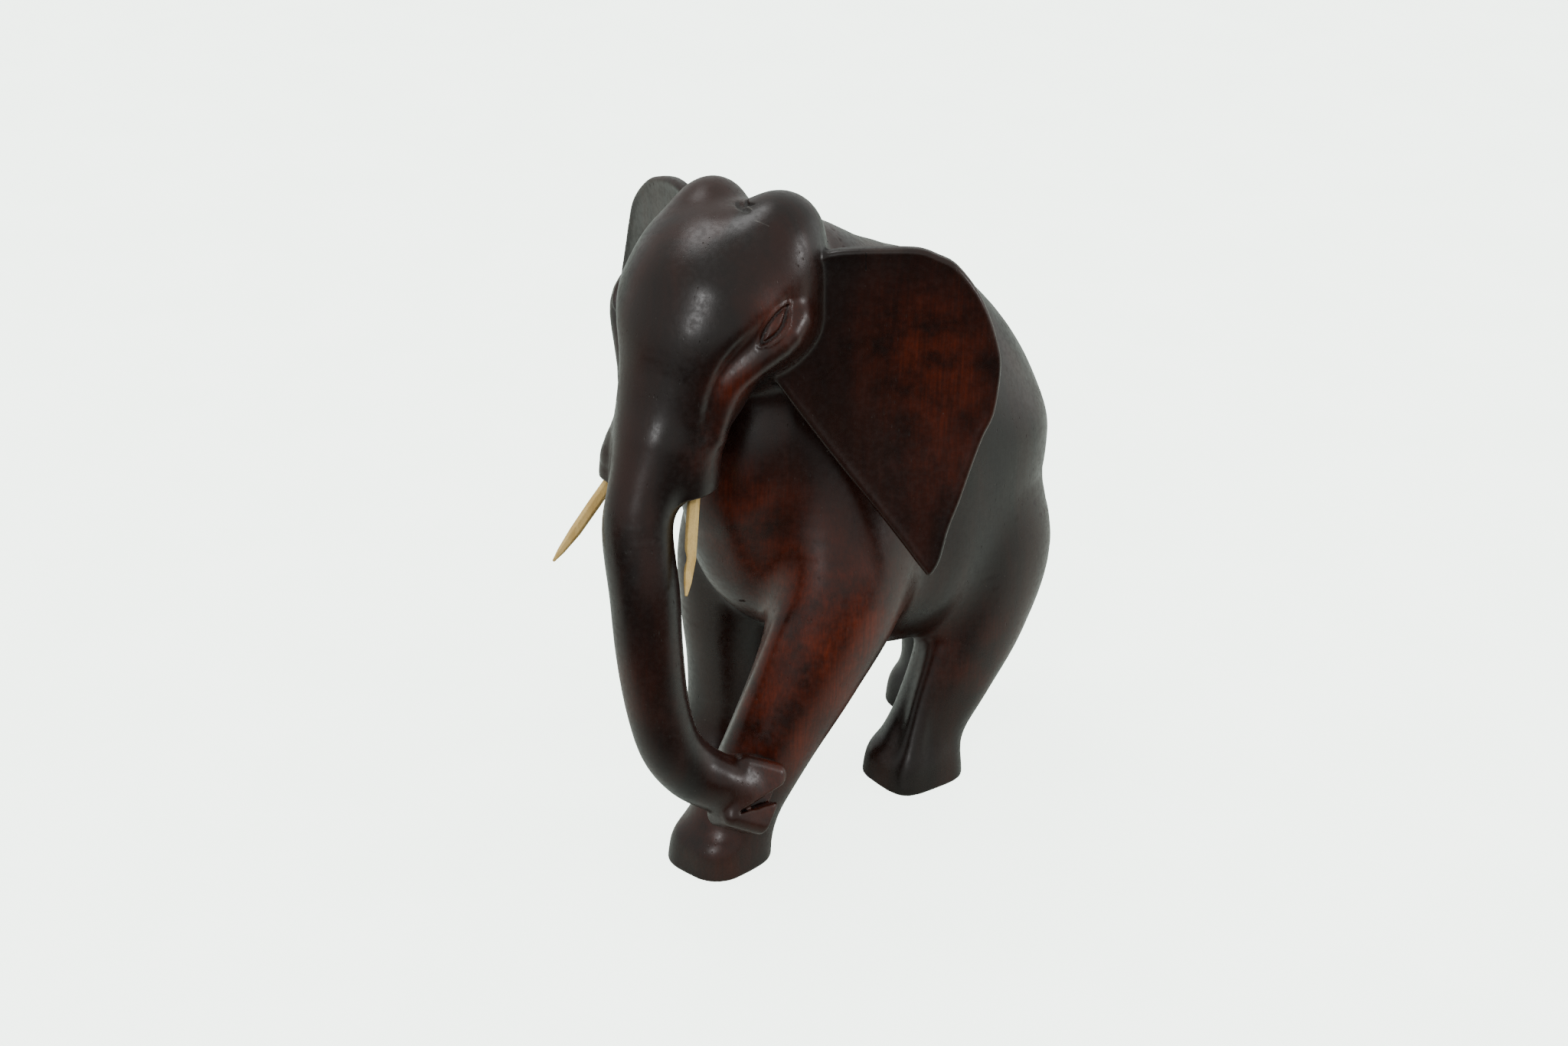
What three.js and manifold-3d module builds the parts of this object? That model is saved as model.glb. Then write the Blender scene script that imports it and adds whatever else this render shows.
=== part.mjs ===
// Carved wooden elephant with two whittled tusks, in millimetres, +Z up, facing -Y.
// The elephant is one carving: body, turned head, ears, hanging trunk and four legs.
// Its form is a field of distances made of ellipsoids and round rolls strung along curved paths
// and blended into each other; a skin is laid on the field's zero level.  The ears are cupped
// plates, the tusk sheaths are tapered swellings with flat mouths and the trunk's tip is a
// rounded block with a wedge-shaped mouth, all joined to the skin.  Each tusk is a separate
// stick that stands in a bored socket with clearance all round.

import * as THREE from "three";
import Module from "manifold-3d";

// Section: driving sizes
const carvingHeight = 308;
const earThickness = 5.4;
const earRimRounding = 1.6;
const earCupDepth = 5;
const footLength = 40;
const footWidth = 35.5;
const footFlare = 0.09;
const trunkTipWidth = 33;
const trunkTipDepth = 23;
const trunkMouthGap = 7;
const trunkMouthDepth = 10.5;
const sheathDiameter = 18;
const tuskDiameter = 5.4;
const leftTuskLength = 47;
const rightTuskLength = 47;
const tuskSocketDepth = 11;
const tuskClearance = 0.3;
const eyeLength = 20;
const eyeWidth = 7;
const eyeProud = 0.8;
const skinStep = 9.2;
const skinProud = 0.45;

// The skin's corners stand proud of the round form, so that its flat faces straddle it.
// One share is the carving's height over the number of shares its proportions are drawn in.
const shares = 308;
const unit = carvingHeight / shares;
const degree = Math.PI / 180;

// Section: vectors
const add = (a, b) => [a[0] + b[0], a[1] + b[1], a[2] + b[2]];
const sub = (a, b) => [a[0] - b[0], a[1] - b[1], a[2] - b[2]];
const scale = (a, s) => [a[0] * s, a[1] * s, a[2] * s];
const dot = (a, b) => a[0] * b[0] + a[1] * b[1] + a[2] * b[2];
const length = (a) => Math.sqrt(dot(a, a));
const unitVector = (a) => scale(a, 1 / length(a));
const cross = (a, b) => [a[1] * b[2] - a[2] * b[1], a[2] * b[0] - a[0] * b[2], a[0] * b[1] - a[1] * b[0]];

// The head is turned to the elephant's left about a vertical axis.
const headTurn = 18 * degree;
const headPlace = [9, -68.5, 0];
const headLeft = [Math.cos(headTurn), Math.sin(headTurn), 0];
const headBack = [-Math.sin(headTurn), Math.cos(headTurn), 0];

// Direction from the head's own axes to the body's.
function turnToBody(v) {
  return add(add(scale(headLeft, v[0]), scale(headBack, v[1])), [0, 0, v[2]]);
}

// Point from the head's own axes to the body's.
function headToBody(p) {
  return add(turnToBody(p), headPlace);
}

// Point from the body's axes to the head's own.
function bodyToHead(p) {
  const d = sub(p, headPlace);
  return [dot(d, headLeft), dot(d, headBack), d[2]];
}

// Section: curves
// Catmull-Rom curve through the rows of keys, sampled at even steps of its parameter.
function curve(keys, count) {
  const first = keys[0].map((v, i) => 2 * v - keys[1][i]);
  const end = keys.length - 1;
  const last = keys[end].map((v, i) => 2 * v - keys[end - 1][i]);
  const rows = [first, ...keys, last];
  const out = [];
  for (let n = 0; n < count; n += 1) {
    const t = (end * n) / (count - 1);
    const i = Math.min(Math.floor(t), end - 1);
    const f = t - i;
    out.push(blendRows(rows[i], rows[i + 1], rows[i + 2], rows[i + 3], f));
  }
  return out;
}

// One point of a Catmull-Rom span between b and c, at the fraction f.
function blendRows(a, b, c, d, f) {
  const square = f * f;
  const cube = square * f;
  return b.map((value, k) => {
    const slope = (c[k] - a[k]) * f;
    const bow = (2 * a[k] - 5 * value + 4 * c[k] - d[k]) * square;
    const twist = (3 * value - a[k] - 3 * c[k] + d[k]) * cube;
    return 0.5 * (2 * value + slope + bow + twist);
  });
}

// A limb: ellipsoids strung along a curve.  Each key is x, y, z, half width, half depth.
function limb(keys, count, side = [1, 0, 0]) {
  const rows = curve(keys, count);
  const beads = rows.map((row, n) => {
    const ahead = rows[Math.min(n + 1, count - 1)];
    const behind = rows[Math.max(n - 1, 0)];
    const along = unitVector(sub(ahead.slice(0, 3), behind.slice(0, 3)));
    const across = unitVector(sub(side, scale(along, dot(side, along))));
    const depth = cross(along, across);
    const radii = [row[3], row[4], Math.min(row[3], row[4])];
    return { centre: row.slice(0, 3), axes: [across, depth, along], radii };
  });
  const low = [0, 1, 2].map((k) => Math.min(...beads.map((b) => b.centre[k] - Math.max(...b.radii))));
  const high = [0, 1, 2].map((k) => Math.max(...beads.map((b) => b.centre[k] + Math.max(...b.radii))));
  return { beads, low, high };
}

// A roll: a round-sectioned ridge or groove along a curve.  Each key is x, y, z and radius.
function roll(keys, count = 14) {
  const rows = curve(keys, count);
  const reach = Math.max(...rows.map((row) => row[3]));
  const low = [0, 1, 2].map((k) => Math.min(...rows.map((row) => row[k])) - reach);
  const high = [0, 1, 2].map((k) => Math.max(...rows.map((row) => row[k])) + reach);
  return { rows, low, high };
}

// Section: distances
// Distance from a point to a box, zero inside it.
function boxDistance(p, low, high) {
  return Math.hypot(...[0, 1, 2].map((k) => Math.max(low[k] - p[k], p[k] - high[k], 0)));
}

// Distance to an ellipsoid, exact on its surface and close near it.
function ellipsoidDistance(q, r) {
  const u = [q[0] / r[0], q[1] / r[1], q[2] / r[2]];
  const inner = length(u);
  const outer = Math.hypot(u[0] / r[0], u[1] / r[1], u[2] / r[2]) + 1e-6;
  return (inner * (inner - 1)) / outer;
}

// Distance to a limb, or to its box when far off.  The least bead distance is refined by the
// parabola through it and its two neighbours, so that the limb is smooth between its beads.
function limbDistance(p, part) {
  const far = boxDistance(p, part.low, part.high);
  if (far > 22) {
    return far + 6;
  }
  const values = part.beads.map((bead) => {
    const d = sub(p, bead.centre);
    return ellipsoidDistance(bead.axes.map((axis) => dot(axis, d)), bead.radii);
  });
  const least = values.indexOf(Math.min(...values));
  const at = Math.min(Math.max(least, 1), values.length - 2);
  const [before, here, after] = values.slice(at - 1, at + 2);
  const bow = Math.max(before + after - 2 * here, 1e-4);
  const step = Math.min(Math.max((before - after) / (2 * bow), -1), 1);
  return here + ((after - before) / 2) * step + (bow / 2) * step * step;
}

// Distance to a roll: that to the nearest straight piece of its curve, less the radius there.
function rollDistance(p, part) {
  const far = boxDistance(p, part.low, part.high);
  if (far > 14) {
    return far + 3;
  }
  let best = 1e9;
  for (let n = 0; n < part.rows.length - 1; n += 1) {
    const a = part.rows[n];
    const edge = sub(part.rows[n + 1], a);
    const offset = sub(p, a);
    const share = Math.min(Math.max(dot(offset, edge) / dot(edge, edge), 0), 1);
    const gap = length(sub(offset, scale(edge, share)));
    best = Math.min(best, gap - a[3] - share * (part.rows[n + 1][3] - a[3]));
  }
  return best;
}

// Lesser of two distances with the seam between them filled over the width k.
function blend(a, b, k) {
  const h = Math.max(k - Math.abs(a - b), 0) / k;
  return Math.min(a, b) - (h * h * h * k) / 6;
}

// Greater of two distances with the edge between them rounded over the width k.
function carve(a, b, k) {
  return -blend(-a, -b, k);
}

// Section: proportions
const torso = limb([
  [3, -48, 188, 33, 56], [1, -26, 180, 41, 82], [0, 5, 169.5, 50, 92.5],
  [0, 36, 156, 54, 87], [0, 65.5, 144, 49.5, 69], [0, 83, 138, 37.5, 46],
], 14);
const belly = { centre: [2, 30, 121], radii: [54, 60, 57] };
const neck = limb([[2, -10, 224.5, 36, 47.5], [6, -38, 247, 34, 42], [10, -60, 257, 31, 38]], 8);
const foreLeft = limb([
  [25, -4, 190, 20, 34], [34, -13, 156, 21, 36], [41, -28, 121, 25, 33], [42, -47, 88, 22.5, 26],
  [39, -64, 58, 20, 21], [36, -77, 34, 18.5, 19], [33.5, -85, 18, 18, 19], [33.5, -88, 10, 17, 18],
], 22);
const foreRight = limb([
  [-24, -2, 187, 20, 34], [-29, -16, 152, 22, 35], [-31, -28, 118, 24, 31], [-32, -30, 88, 22, 27],
  [-33, -30, 58, 20, 22], [-34, -31, 34, 19, 19], [-34, -33, 18, 18, 19], [-34, -33, 10, 17, 18],
], 22);
const hindLeft = limb([
  [22, 69, 165, 26, 38], [24, 66, 137, 25, 35], [32, 70, 108, 25, 37.5], [37, 62, 78, 22, 28],
  [36.5, 50, 52, 20, 21], [34.5, 39, 30, 17.5, 18], [34, 31, 18, 16.5, 17], [34, 29.5, 10, 16, 17],
], 22);
const hindRight = limb([
  [-22, 70, 165, 26, 40], [-24, 78, 135, 26, 37], [-24, 86, 105, 23, 30], [-20.5, 91, 78, 20, 24],
  [-16, 91, 52, 18.5, 21], [-12, 88, 30, 18, 19], [-10, 85, 18, 17, 18], [-10, 84, 10, 17, 18],
], 22);

// Soft ridges down the front of the left fore leg and above the toe of the left hind foot.
const shins = [
  roll([[42, -50, 134, 3], [42, -62.5, 109.5, 5.6], [38.8, -72.2, 82.6, 6], [35.2, -83.2, 54.4, 5.5]]),
  roll([[46.4, 12.6, 4, 4.5], [44.2, 17.2, 17, 5], [40.6, 26.8, 40, 5], [39.5, 36.5, 66, 4.5]]),
];
const face = limb([
  [-2, -20, 266, 36, 30], [-2, -27, 252, 34, 30], [-2.4, -33, 238, 29.5, 28],
  [-3, -40, 225, 25, 25], [-2.5, -45, 213, 22, 22], [-1, -48, 203, 19.5, 19],
].map((key) => [...headToBody(key), key[3], key[4]]), 12, headLeft);
const trunk = limb([
  [23.5, -121, 210, 17, 17], [26.3, -130, 194, 15.4, 15.2], [29, -135.4, 177, 15.6, 15],
  [36, -137, 151, 15.2, 15], [39.2, -136.8, 125, 14.6, 14.5], [41.2, -134, 99, 13.7, 13.8],
  [44, -129, 78, 13.7, 13.6], [47.2, -120.2, 64, 14, 13.5], [52, -110, 55.5, 14.5, 13],
  [55, -103, 51, 13.5, 12],
], 28, [0.8, -0.2, 0.6]);

// A foot stands under each leg: its centre on the floor, its turn, its corner rounding and the
// width of the seam between leg and body.
const feet = [
  { leg: foreLeft, centre: [33, -91], turn: 8, corner: 13, seam: 21 },
  { leg: foreRight, centre: [-33, -34], turn: 0, corner: 13, seam: 13 },
  { leg: hindLeft, centre: [34, 28.5], turn: -3, corner: 12, seam: 13 },
  { leg: hindRight, centre: [-10, 84], turn: 0, corner: 12, seam: 13 },
];

// Rounded block that flares toward the floor and runs on below it.
function footDistance(p, foot) {
  const turn = foot.turn * degree;
  const dx = p[0] - foot.centre[0];
  const dy = p[1] - foot.centre[1];
  const x = Math.abs(dx * Math.cos(turn) + dy * Math.sin(turn));
  const y = Math.abs(dy * Math.cos(turn) - dx * Math.sin(turn));
  const flare = 1 + footFlare * Math.min(Math.max((18 - p[2]) / 18, 0), 1) ** 1.6;
  const ax = x / flare - (footWidth / unit / 2 - foot.corner);
  const ay = y / flare - (footLength / unit / 2 - foot.corner);
  const round = Math.hypot(Math.max(ax, 0), Math.max(ay, 0)) + Math.min(Math.max(ax, ay), 0) - foot.corner;
  return carve(round, Math.abs(p[2]) - 16, 14);
}

// The crown: a broad brow, the forehead above it, and two domes parted by a furrow, each on its
// temple.
const crown = [
  { centre: [-3.3, -8, 257], radii: [45.7, 43, 28], seam: 1 },
  { centre: [-2, -8, 276], radii: [37, 31, 28], seam: 14 },
  { centre: [17.5, 5, 288], radii: [19, 24.5, 21.5], seam: 11 },
  { centre: [-16, 6, 287.5], radii: [17, 22, 21.5], seam: 11 },
  { centre: [20, 2, 274], radii: [20, 25, 25], seam: 12 },
  { centre: [-22, 0, 270], radii: [16, 24, 24], seam: 12 },
];

// A roll drawn on the head's left, and its mirror on the right.
function paired(keys) {
  return [1, -1].map((side) => roll(keys.map((k) => [...headToBody([side * (k[0] + 2) - 2, k[1], k[2]]), k[3]])));
}

// Grooves from behind each eye, under it, and down between cheek and trunk root.
const sockets = paired([
  [42.5, -18, 270.6, 4], [41.5, -27, 265.1, 6], [38.4, -33.6, 260.8, 6.5], [34.2, -39.6, 254.8, 7],
  [30.5, -43.6, 246.6, 7.5], [27.2, -46, 238, 7], [25, -47.6, 229.7, 6], [24.5, -49.6, 221, 4],
]);

// Rolls of the cheek under each groove.
const cheeks = paired([
  [36, -10, 262, 8], [36, -18.5, 256.5, 7.5], [29.8, -29.5, 249, 6.5],
  [22.5, -38, 240.5, 6.5], [18.3, -41.2, 228.5, 6.5], [16, -42.5, 217, 7],
]);

// Distance to the head and trunk.
function headDistance(p) {
  const h = bodyToHead(p);
  let head = 1e3;
  for (const lobe of crown) {
    head = blend(head, ellipsoidDistance(sub(h, lobe.centre), lobe.radii), lobe.seam);
  }
  head = blend(head, limbDistance(p, face), 9);
  for (const groove of sockets) {
    head = carve(head, -rollDistance(p, groove), 9);
  }
  for (const cheek of cheeks) {
    head = blend(head, rollDistance(p, cheek), 7);
  }
  return blend(head, limbDistance(p, trunk), 14);
}

// Distance to the carving without ears, sheaths and trunk tip, in shares, at a point p.
function carvingDistance(p) {
  let d = limbDistance(p, torso);
  d = blend(d, ellipsoidDistance(sub(p, belly.centre), belly.radii), 14);
  for (const foot of feet) {
    const leg = blend(limbDistance(p, foot.leg), footDistance(p, foot), 16);
    d = blend(d, leg, foot.seam);
  }
  for (const shin of shins) {
    d = blend(d, rollDistance(p, shin), 7);
  }
  d = blend(d, limbDistance(p, neck), 16);
  const tight = 3 + 7 * Math.min(Math.max((p[2] - 100) / 60, 0), 1);
  return blend(d, headDistance(p), tight);
}

// Section: skin on the field
// Quads of a dual skin: each grid cell that the surface crosses gets one point for each sheet of
// the surface in it, at the mean of that sheet's crossings with the cell's edges.
function skin(field, low, high, step) {
  const count = [0, 1, 2].map((k) => Math.ceil((high[k] - low[k]) / step) + 1);
  const strides = [count[1] * count[2], count[2], 1];
  const values = new Float64Array(count[0] * strides[0]);
  const place = (at) => [0, 1, 2].map((k) => low[k] + step * (Math.floor(at / strides[k]) % count[k]));
  for (let at = 0; at < values.length; at += 1) {
    values[at] = field(place(at));
  }
  const crossing = (edge) => {
    const axis = edge % 3;
    const at = (edge - axis) / 3;
    const a = values[at];
    const point = place(at);
    point[axis] += (step * a) / (a - values[at + strides[axis]]);
    return point;
  };
  const cells = new Map();
  const points = [];
  const sheetOf = (cell, edge) => {
    if (!cells.has(cell)) {
      cells.set(cell, sheets(values, strides, cell));
    }
    const sheet = cells.get(cell).find((found) => found.edges.includes(edge));
    if (sheet.id === undefined) {
      sheet.id = points.length;
      const sum = sheet.edges.map(crossing).reduce(add);
      points.push(settle(field, scale(sum, 1 / sheet.edges.length), step));
    }
    return sheet.id;
  };
  const quads = [];
  for (let at = strides[0]; at < values.length - strides[0]; at += 1) {
    for (let axis = 0; axis < 3; axis += 1) {
      const first = values[at] < 0;
      if (first === values[at + strides[axis]] < 0) {
        continue;
      }
      const u = strides[(axis + 1) % 3];
      const v = strides[(axis + 2) % 3];
      const ring = [0, -u, -u - v, -v].map((shift) => sheetOf(at + shift, at * 3 + axis));
      quads.push(first ? ring : ring.reverse());
    }
  }
  return { points, quads };
}

// The sheets of the surface in one cell, each the list of cell edges that it crosses.  Crossings
// that share a cell face are linked; where a face has four, the sign of its mean value pairs them.
function sheets(values, strides, cell) {
  const links = new Map();
  const link = (a, b) => {
    links.set(a, [...(links.get(a) || []), b]);
    links.set(b, [...(links.get(b) || []), a]);
  };
  for (let axis = 0; axis < 3; axis += 1) {
    const u = (axis + 1) % 3;
    const v = (axis + 2) % 3;
    for (const base of [cell, cell + strides[axis]]) {
      const corners = [base, base + strides[u], base + strides[v], base + strides[u] + strides[v]];
      const inside = corners.map((at) => values[at] < 0);
      const edges = [
        { key: base * 3 + u, cut: inside[0] !== inside[1] },
        { key: corners[1] * 3 + v, cut: inside[1] !== inside[3] },
        { key: corners[2] * 3 + u, cut: inside[2] !== inside[3] },
        { key: base * 3 + v, cut: inside[0] !== inside[2] },
      ].filter((edge) => edge.cut).map((edge) => edge.key);
      if (edges.length === 2) {
        link(edges[0], edges[1]);
      } else if (edges.length === 4) {
        const middle = corners.reduce((sum, at) => sum + values[at], 0) < 0;
        const turn = middle === inside[0] ? 0 : 3;
        link(edges[turn], edges[(turn + 1) % 4]);
        link(edges[(turn + 2) % 4], edges[(turn + 3) % 4]);
      }
    }
  }
  const found = [];
  for (const start of links.keys()) {
    if (found.some((sheet) => sheet.edges.includes(start))) {
      continue;
    }
    const edges = [start];
    for (const edge of edges) {
      edges.push(...links.get(edge).filter((next) => !edges.includes(next)));
    }
    found.push({ edges: [...new Set(edges)] });
  }
  return found;
}

// Moves a point along the field's slope until it lies on the surface, at most half a step in all.
function settle(field, start, step) {
  let p = start;
  const reach = step / 40;
  for (let turn = 0; turn < 3; turn += 1) {
    const value = field(p);
    const slope = [0, 1, 2].map((k) => {
      const shift = [0, 0, 0];
      shift[k] = reach;
      return (field(add(p, shift)) - field(sub(p, shift))) / (2 * reach);
    });
    p = sub(p, scale(slope, value / Math.max(dot(slope, slope), 0.4)));
  }
  const moved = sub(p, start);
  const far = length(moved);
  return far > step / 2 ? add(start, scale(moved, step / 2 / far)) : p;
}

// True when every edge of the quads is shared by exactly two of them.
function closed(quads) {
  const edges = new Map();
  for (const quad of quads) {
    for (let n = 0; n < 4; n += 1) {
      const a = quad[n];
      const b = quad[(n + 1) % 4];
      const key = a < b ? a * 1e6 + b : b * 1e6 + a;
      edges.set(key, (edges.get(key) || 0) + 1);
    }
  }
  return [...edges.values()].every((uses) => uses === 2);
}

// The skin's grid is moved by fractions of its step until no edge is shared by more than two
// quads, as it would be where a narrow tunnel falls into one cell.
function closedSkin(field, low, high, step) {
  for (let turn = 0; turn < 12; turn += 1) {
    const shift = [turn * 0.37, turn * 0.61, turn * 0.23].map((s) => (s % 1) * step);
    const moved = low.map((v, k) => v - shift[k]);
    const result = skin(field, moved, high, step);
    if (closed(result.quads)) {
      return result;
    }
  }
  throw new Error("the skin stays open at every grid place");
}

// Each quad is split along its shorter diagonal, or the other where that pair is joined already.
function triangles(points, quads) {
  const key = (a, b) => (a < b ? a * 1e6 + b : b * 1e6 + a);
  const joined = new Set(quads.flatMap((quad) => quad.map((a, n) => key(a, quad[(n + 1) % 4]))));
  const out = [];
  for (const [a, b, c, d] of quads) {
    const shorter = length(sub(points[a], points[c])) < length(sub(points[b], points[d]));
    const first = joined.has(key(a, c)) ? false : shorter || joined.has(key(b, d));
    joined.add(first ? key(a, c) : key(b, d));
    out.push(...(first ? [a, b, c, a, c, d] : [a, b, d, b, c, d]));
  }
  return out;
}

// Section: solids
const wasm = await Module();
wasm.setup();

function solid(points, faces) {
  const vertProperties = new Float32Array(points.flat());
  const triVerts = new Uint32Array(faces);
  return new wasm.Manifold(new wasm.Mesh({ numProp: 3, vertProperties, triVerts }));
}

// Closed loft through rings of equal point counts, its ends capped by fans about their centres.
// The rings may run either way round: the faces are turned outward.
function loft(rings) {
  const count = rings[0].length;
  const points = rings.flat();
  const faces = [];
  for (let r = 0; r < rings.length - 1; r += 1) {
    for (let n = 0; n < count; n += 1) {
      const a = r * count + n;
      const b = r * count + ((n + 1) % count);
      faces.push(a, b, b + count, a, b + count, a + count);
    }
  }
  const ends = [0, rings.length - 1];
  for (const end of ends) {
    const centre = points.length;
    points.push(scale(rings[end].reduce(add), 1 / count));
    for (let n = 0; n < count; n += 1) {
      const a = end * count + n;
      const b = end * count + ((n + 1) % count);
      faces.push(...(end === 0 ? [centre, b, a] : [centre, a, b]));
    }
  }
  return solid(points, enclosed(points, faces) < 0 ? faces.reverse() : faces);
}

// Signed volume inside a closed set of triangles: positive where they face outward.
function enclosed(points, faces) {
  let sum = 0;
  for (let n = 0; n < faces.length; n += 3) {
    sum += dot(points[faces[n]], cross(points[faces[n + 1]], points[faces[n + 2]])) / 6;
  }
  return sum;
}

// Ring of points about a centre; the axes across and up are turned right-handed about the way on.
function ring(centre, across, up, halfWidth, halfDepth, count) {
  const out = [];
  for (let n = 0; n < count; n += 1) {
    const angle = (2 * Math.PI * n) / count;
    const x = scale(across, halfWidth * Math.cos(angle));
    const y = scale(up, halfDepth * Math.sin(angle));
    out.push(add(centre, add(x, y)));
  }
  return out;
}

// Across and up axes for a straight piece that runs along a direction.
function crossAxes(along) {
  const across = unitVector(cross([0, 0, 1], along));
  return [across, cross(along, across)];
}

// Section: ears
// Outlines of the ears in their own planes: u runs from the head to the rim, v runs down.  The
// right ear stays wide lower down.
const earInner = [[43, 148], [34, 136], [24, 123], [6.4, 101], [-11, 78], [-24.5, 59], [-38, 40], [-40, 20]];
const ears = [
  {
    side: 1,
    root: [41, 14, 288.5],
    outline: [
      [-30, 6], [-12, 4], [-2, 1.5], [7, 0.4], [19, 0], [35, 0], [44, 3], [51.5, 7], [60, 17], [66, 28],
      [71, 42], [73, 54], [71.4, 74], [67, 86], [63, 99], [58.5, 115], [54, 129], [50.7, 144], [46.6, 151],
      ...earInner,
    ],
  },
  {
    side: -1,
    root: [-30.5, 17, 293.5],
    outline: [
      [-30, 6], [-12, 1], [3.5, -3], [16, -3.5], [28, -1], [41, 4], [52, 12], [60, 21], [64.5, 32],
      [68.5, 45], [72.5, 60], [74.5, 74], [74, 90], [71, 106], [65, 123], [56, 140], [50, 151],
      ...earInner,
    ],
  },
];
const earMiddle = [22, 62];
const earRimSwell = 1.12;

// Plane of an ear: it leaves the head outward and back and leans a little forward at its tip.
function earPlane(side) {
  const outward = unitVector([side * 0.839, 0.545, 0]);
  const rear = unitVector([-side * 0.545, 0.839, 0]);
  const lean = -2.5 * degree;
  const down = add(scale([0, 0, -1], Math.cos(lean)), scale(rear, Math.sin(lean)));
  const normal = add(scale(rear, Math.cos(lean)), scale([0, 0, 1], Math.sin(lean)));
  return { outward: turnToBody(outward), down: turnToBody(down), normal: turnToBody(normal) };
}

// The plate is built of rings that shrink toward its middle, on its rear and on its front face.
function ear(shape) {
  const root = headToBody(shape.root);
  const plane = earPlane(shape.side);
  const outline = [];
  const ends = shape.outline.length;
  for (let n = 0; n < ends; n += 1) {
    const rows = [-1, 0, 1, 2].map((k) => shape.outline[(n + k + ends) % ends]);
    const steps = Math.hypot(rows[2][0] - rows[1][0], rows[2][1] - rows[1][1]) > 14 ? 2 : 1;
    for (let k = 0; k < steps; k += 1) {
      outline.push(blendRows(rows[0], rows[1], rows[2], rows[3], k / steps));
    }
  }
  const place = ([u, v], offset) => {
    const cup = earCupDepth * Math.exp(-((u - 36) ** 2 + (v - 70) ** 2) / 2312) / unit - 2;
    const flat = add(scale(plane.outward, u), scale(plane.down, v));
    return scale(add(add(root, flat), scale(plane.normal, cup + offset)), unit);
  };
  const half = earThickness / 2 / unit;
  const inset = (share, rim) => outline.map((p) => {
    const d = [p[0] - earMiddle[0], p[1] - earMiddle[1]];
    const keep = (1 + (skinProud / unit - rim) / Math.hypot(d[0], d[1])) * share;
    return [earMiddle[0] + d[0] * keep, earMiddle[1] + d[1] * keep];
  });
  const taper = (p) => 1 - 0.28 * Math.min(Math.max(p[1] / 160, 0), 1);
  const face = (share, rim, height) => inset(share, rim).map((p) => place(p, half * height * taper(p)));
  const rim = earRimRounding / unit;
  const rings = [
    face(0.35, rim, 1), face(0.7, rim, 1), face(1, rim, earRimSwell), face(1, 0, 0.6),
    face(1, 0, -0.6), face(1, rim, -earRimSwell), face(0.7, rim, -1), face(0.35, rim, -1),
  ];
  return loft(rings);
}

// Section: tusks, sheaths and sockets
const tuskSeats = {
  left: {
    mouth: [12, -47, 192.5],
    way: [11.3, -22.6, -31.5],
    length: leftTuskLength,
    keys: [[5, -34, 236, 4, 4], [10, -42, 217, 8.5, 10], [12, -46, 204, 9, 12], [12.4, -47.6, 192.5, 9, 12.4]],
  },
  right: {
    mouth: [-23, -54, 193],
    way: [-13, -22.3, -31],
    length: rightTuskLength,
    keys: [[-15, -40, 238, 4, 4], [-17.5, -48, 217, 7, 8], [-20.5, -53, 204, 8.6, 10.5], [-21, -54, 193, 8.6, 11]],
  },
};

// Sheath: a swelling that widens from inside the cheek to a flat mouth.  Its keys are x, y, z,
// half width and half depth for a sheath 18 across, in the head's axes.
function sheath(seat) {
  const rows = curve(seat.keys, 9);
  const swell = sheathDiameter / 18;
  return loft(rows.map(([x, y, z, halfWidth, halfDepth]) => {
    const centre = scale(headToBody([x, y, z]), unit);
    return ring(centre, headLeft, headBack, halfWidth * swell, halfDepth * swell, 22);
  }));
}

// Way of a tusk: forward, outward and down from the middle of the sheath's mouth.
function tuskWay(seat) {
  return unitVector(turnToBody(seat.way));
}

// Socket: a bore along the tusk's way with clearance round it and at its end.
function socket(seat) {
  const way = tuskWay(seat);
  const [across, up] = crossAxes(way);
  const mouth = scale(headToBody(seat.mouth), unit);
  const radius = tuskDiameter / 2 + tuskClearance;
  const inner = sub(mouth, scale(way, tuskSocketDepth + tuskClearance));
  const outer = add(mouth, scale(way, tuskDiameter * 2));
  return loft([ring(inner, across, up, radius, radius, 16), ring(outer, across, up, radius, radius, 16)]);
}

// Tusk: a whittled stick with six flats, a slight bend near two thirds and a blunt point.
function tusk(seat) {
  const way = tuskWay(seat);
  const [across, up] = crossAxes(way);
  const mouth = scale(headToBody(seat.mouth), unit);
  const half = tuskDiameter / 2;
  const sections = [
    { reach: -tuskSocketDepth, bend: 0, size: 0.92 },
    { reach: 0, bend: 0, size: 0.98 },
    { reach: seat.length * 0.36, bend: 0.15, size: 1 },
    { reach: seat.length * 0.66, bend: 0.5, size: 0.94 },
    { reach: seat.length * 0.88, bend: 0.3, size: 0.6 },
    { reach: seat.length, bend: 0.1, size: 0.2 },
  ];
  return loft(sections.map((s) => {
    const centre = add(add(mouth, scale(way, s.reach)), scale(across, s.bend));
    return ring(centre, across, up, half * s.size, half * s.size, 6);
  }));
}

// Section: eyes and trunk tip
// Almond lens set into the side of the head.
function eye(side) {
  const centre = scale(headToBody([side * 37.8 - 2, -24.8, 264.7]), unit);
  const outward = unitVector(turnToBody([side * 0.86, -0.46, 0.22]));
  const along = unitVector(turnToBody([0, 0.8, 0.6]));
  const lengthways = unitVector(sub(along, scale(outward, dot(along, outward))));
  const high = cross(outward, lengthways);
  const rings = [-0.94, -0.7, -0.4, 0, 0.4, 0.7, 0.94].map((s) => {
    const size = 1 - s * s;
    const middle = add(centre, scale(lengthways, (s * eyeLength) / 2));
    return ring(middle, outward, high, (eyeProud + 1.6) * Math.sqrt(size), (eyeWidth / 2) * size, 12);
  });
  return loft(rings);
}

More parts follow.
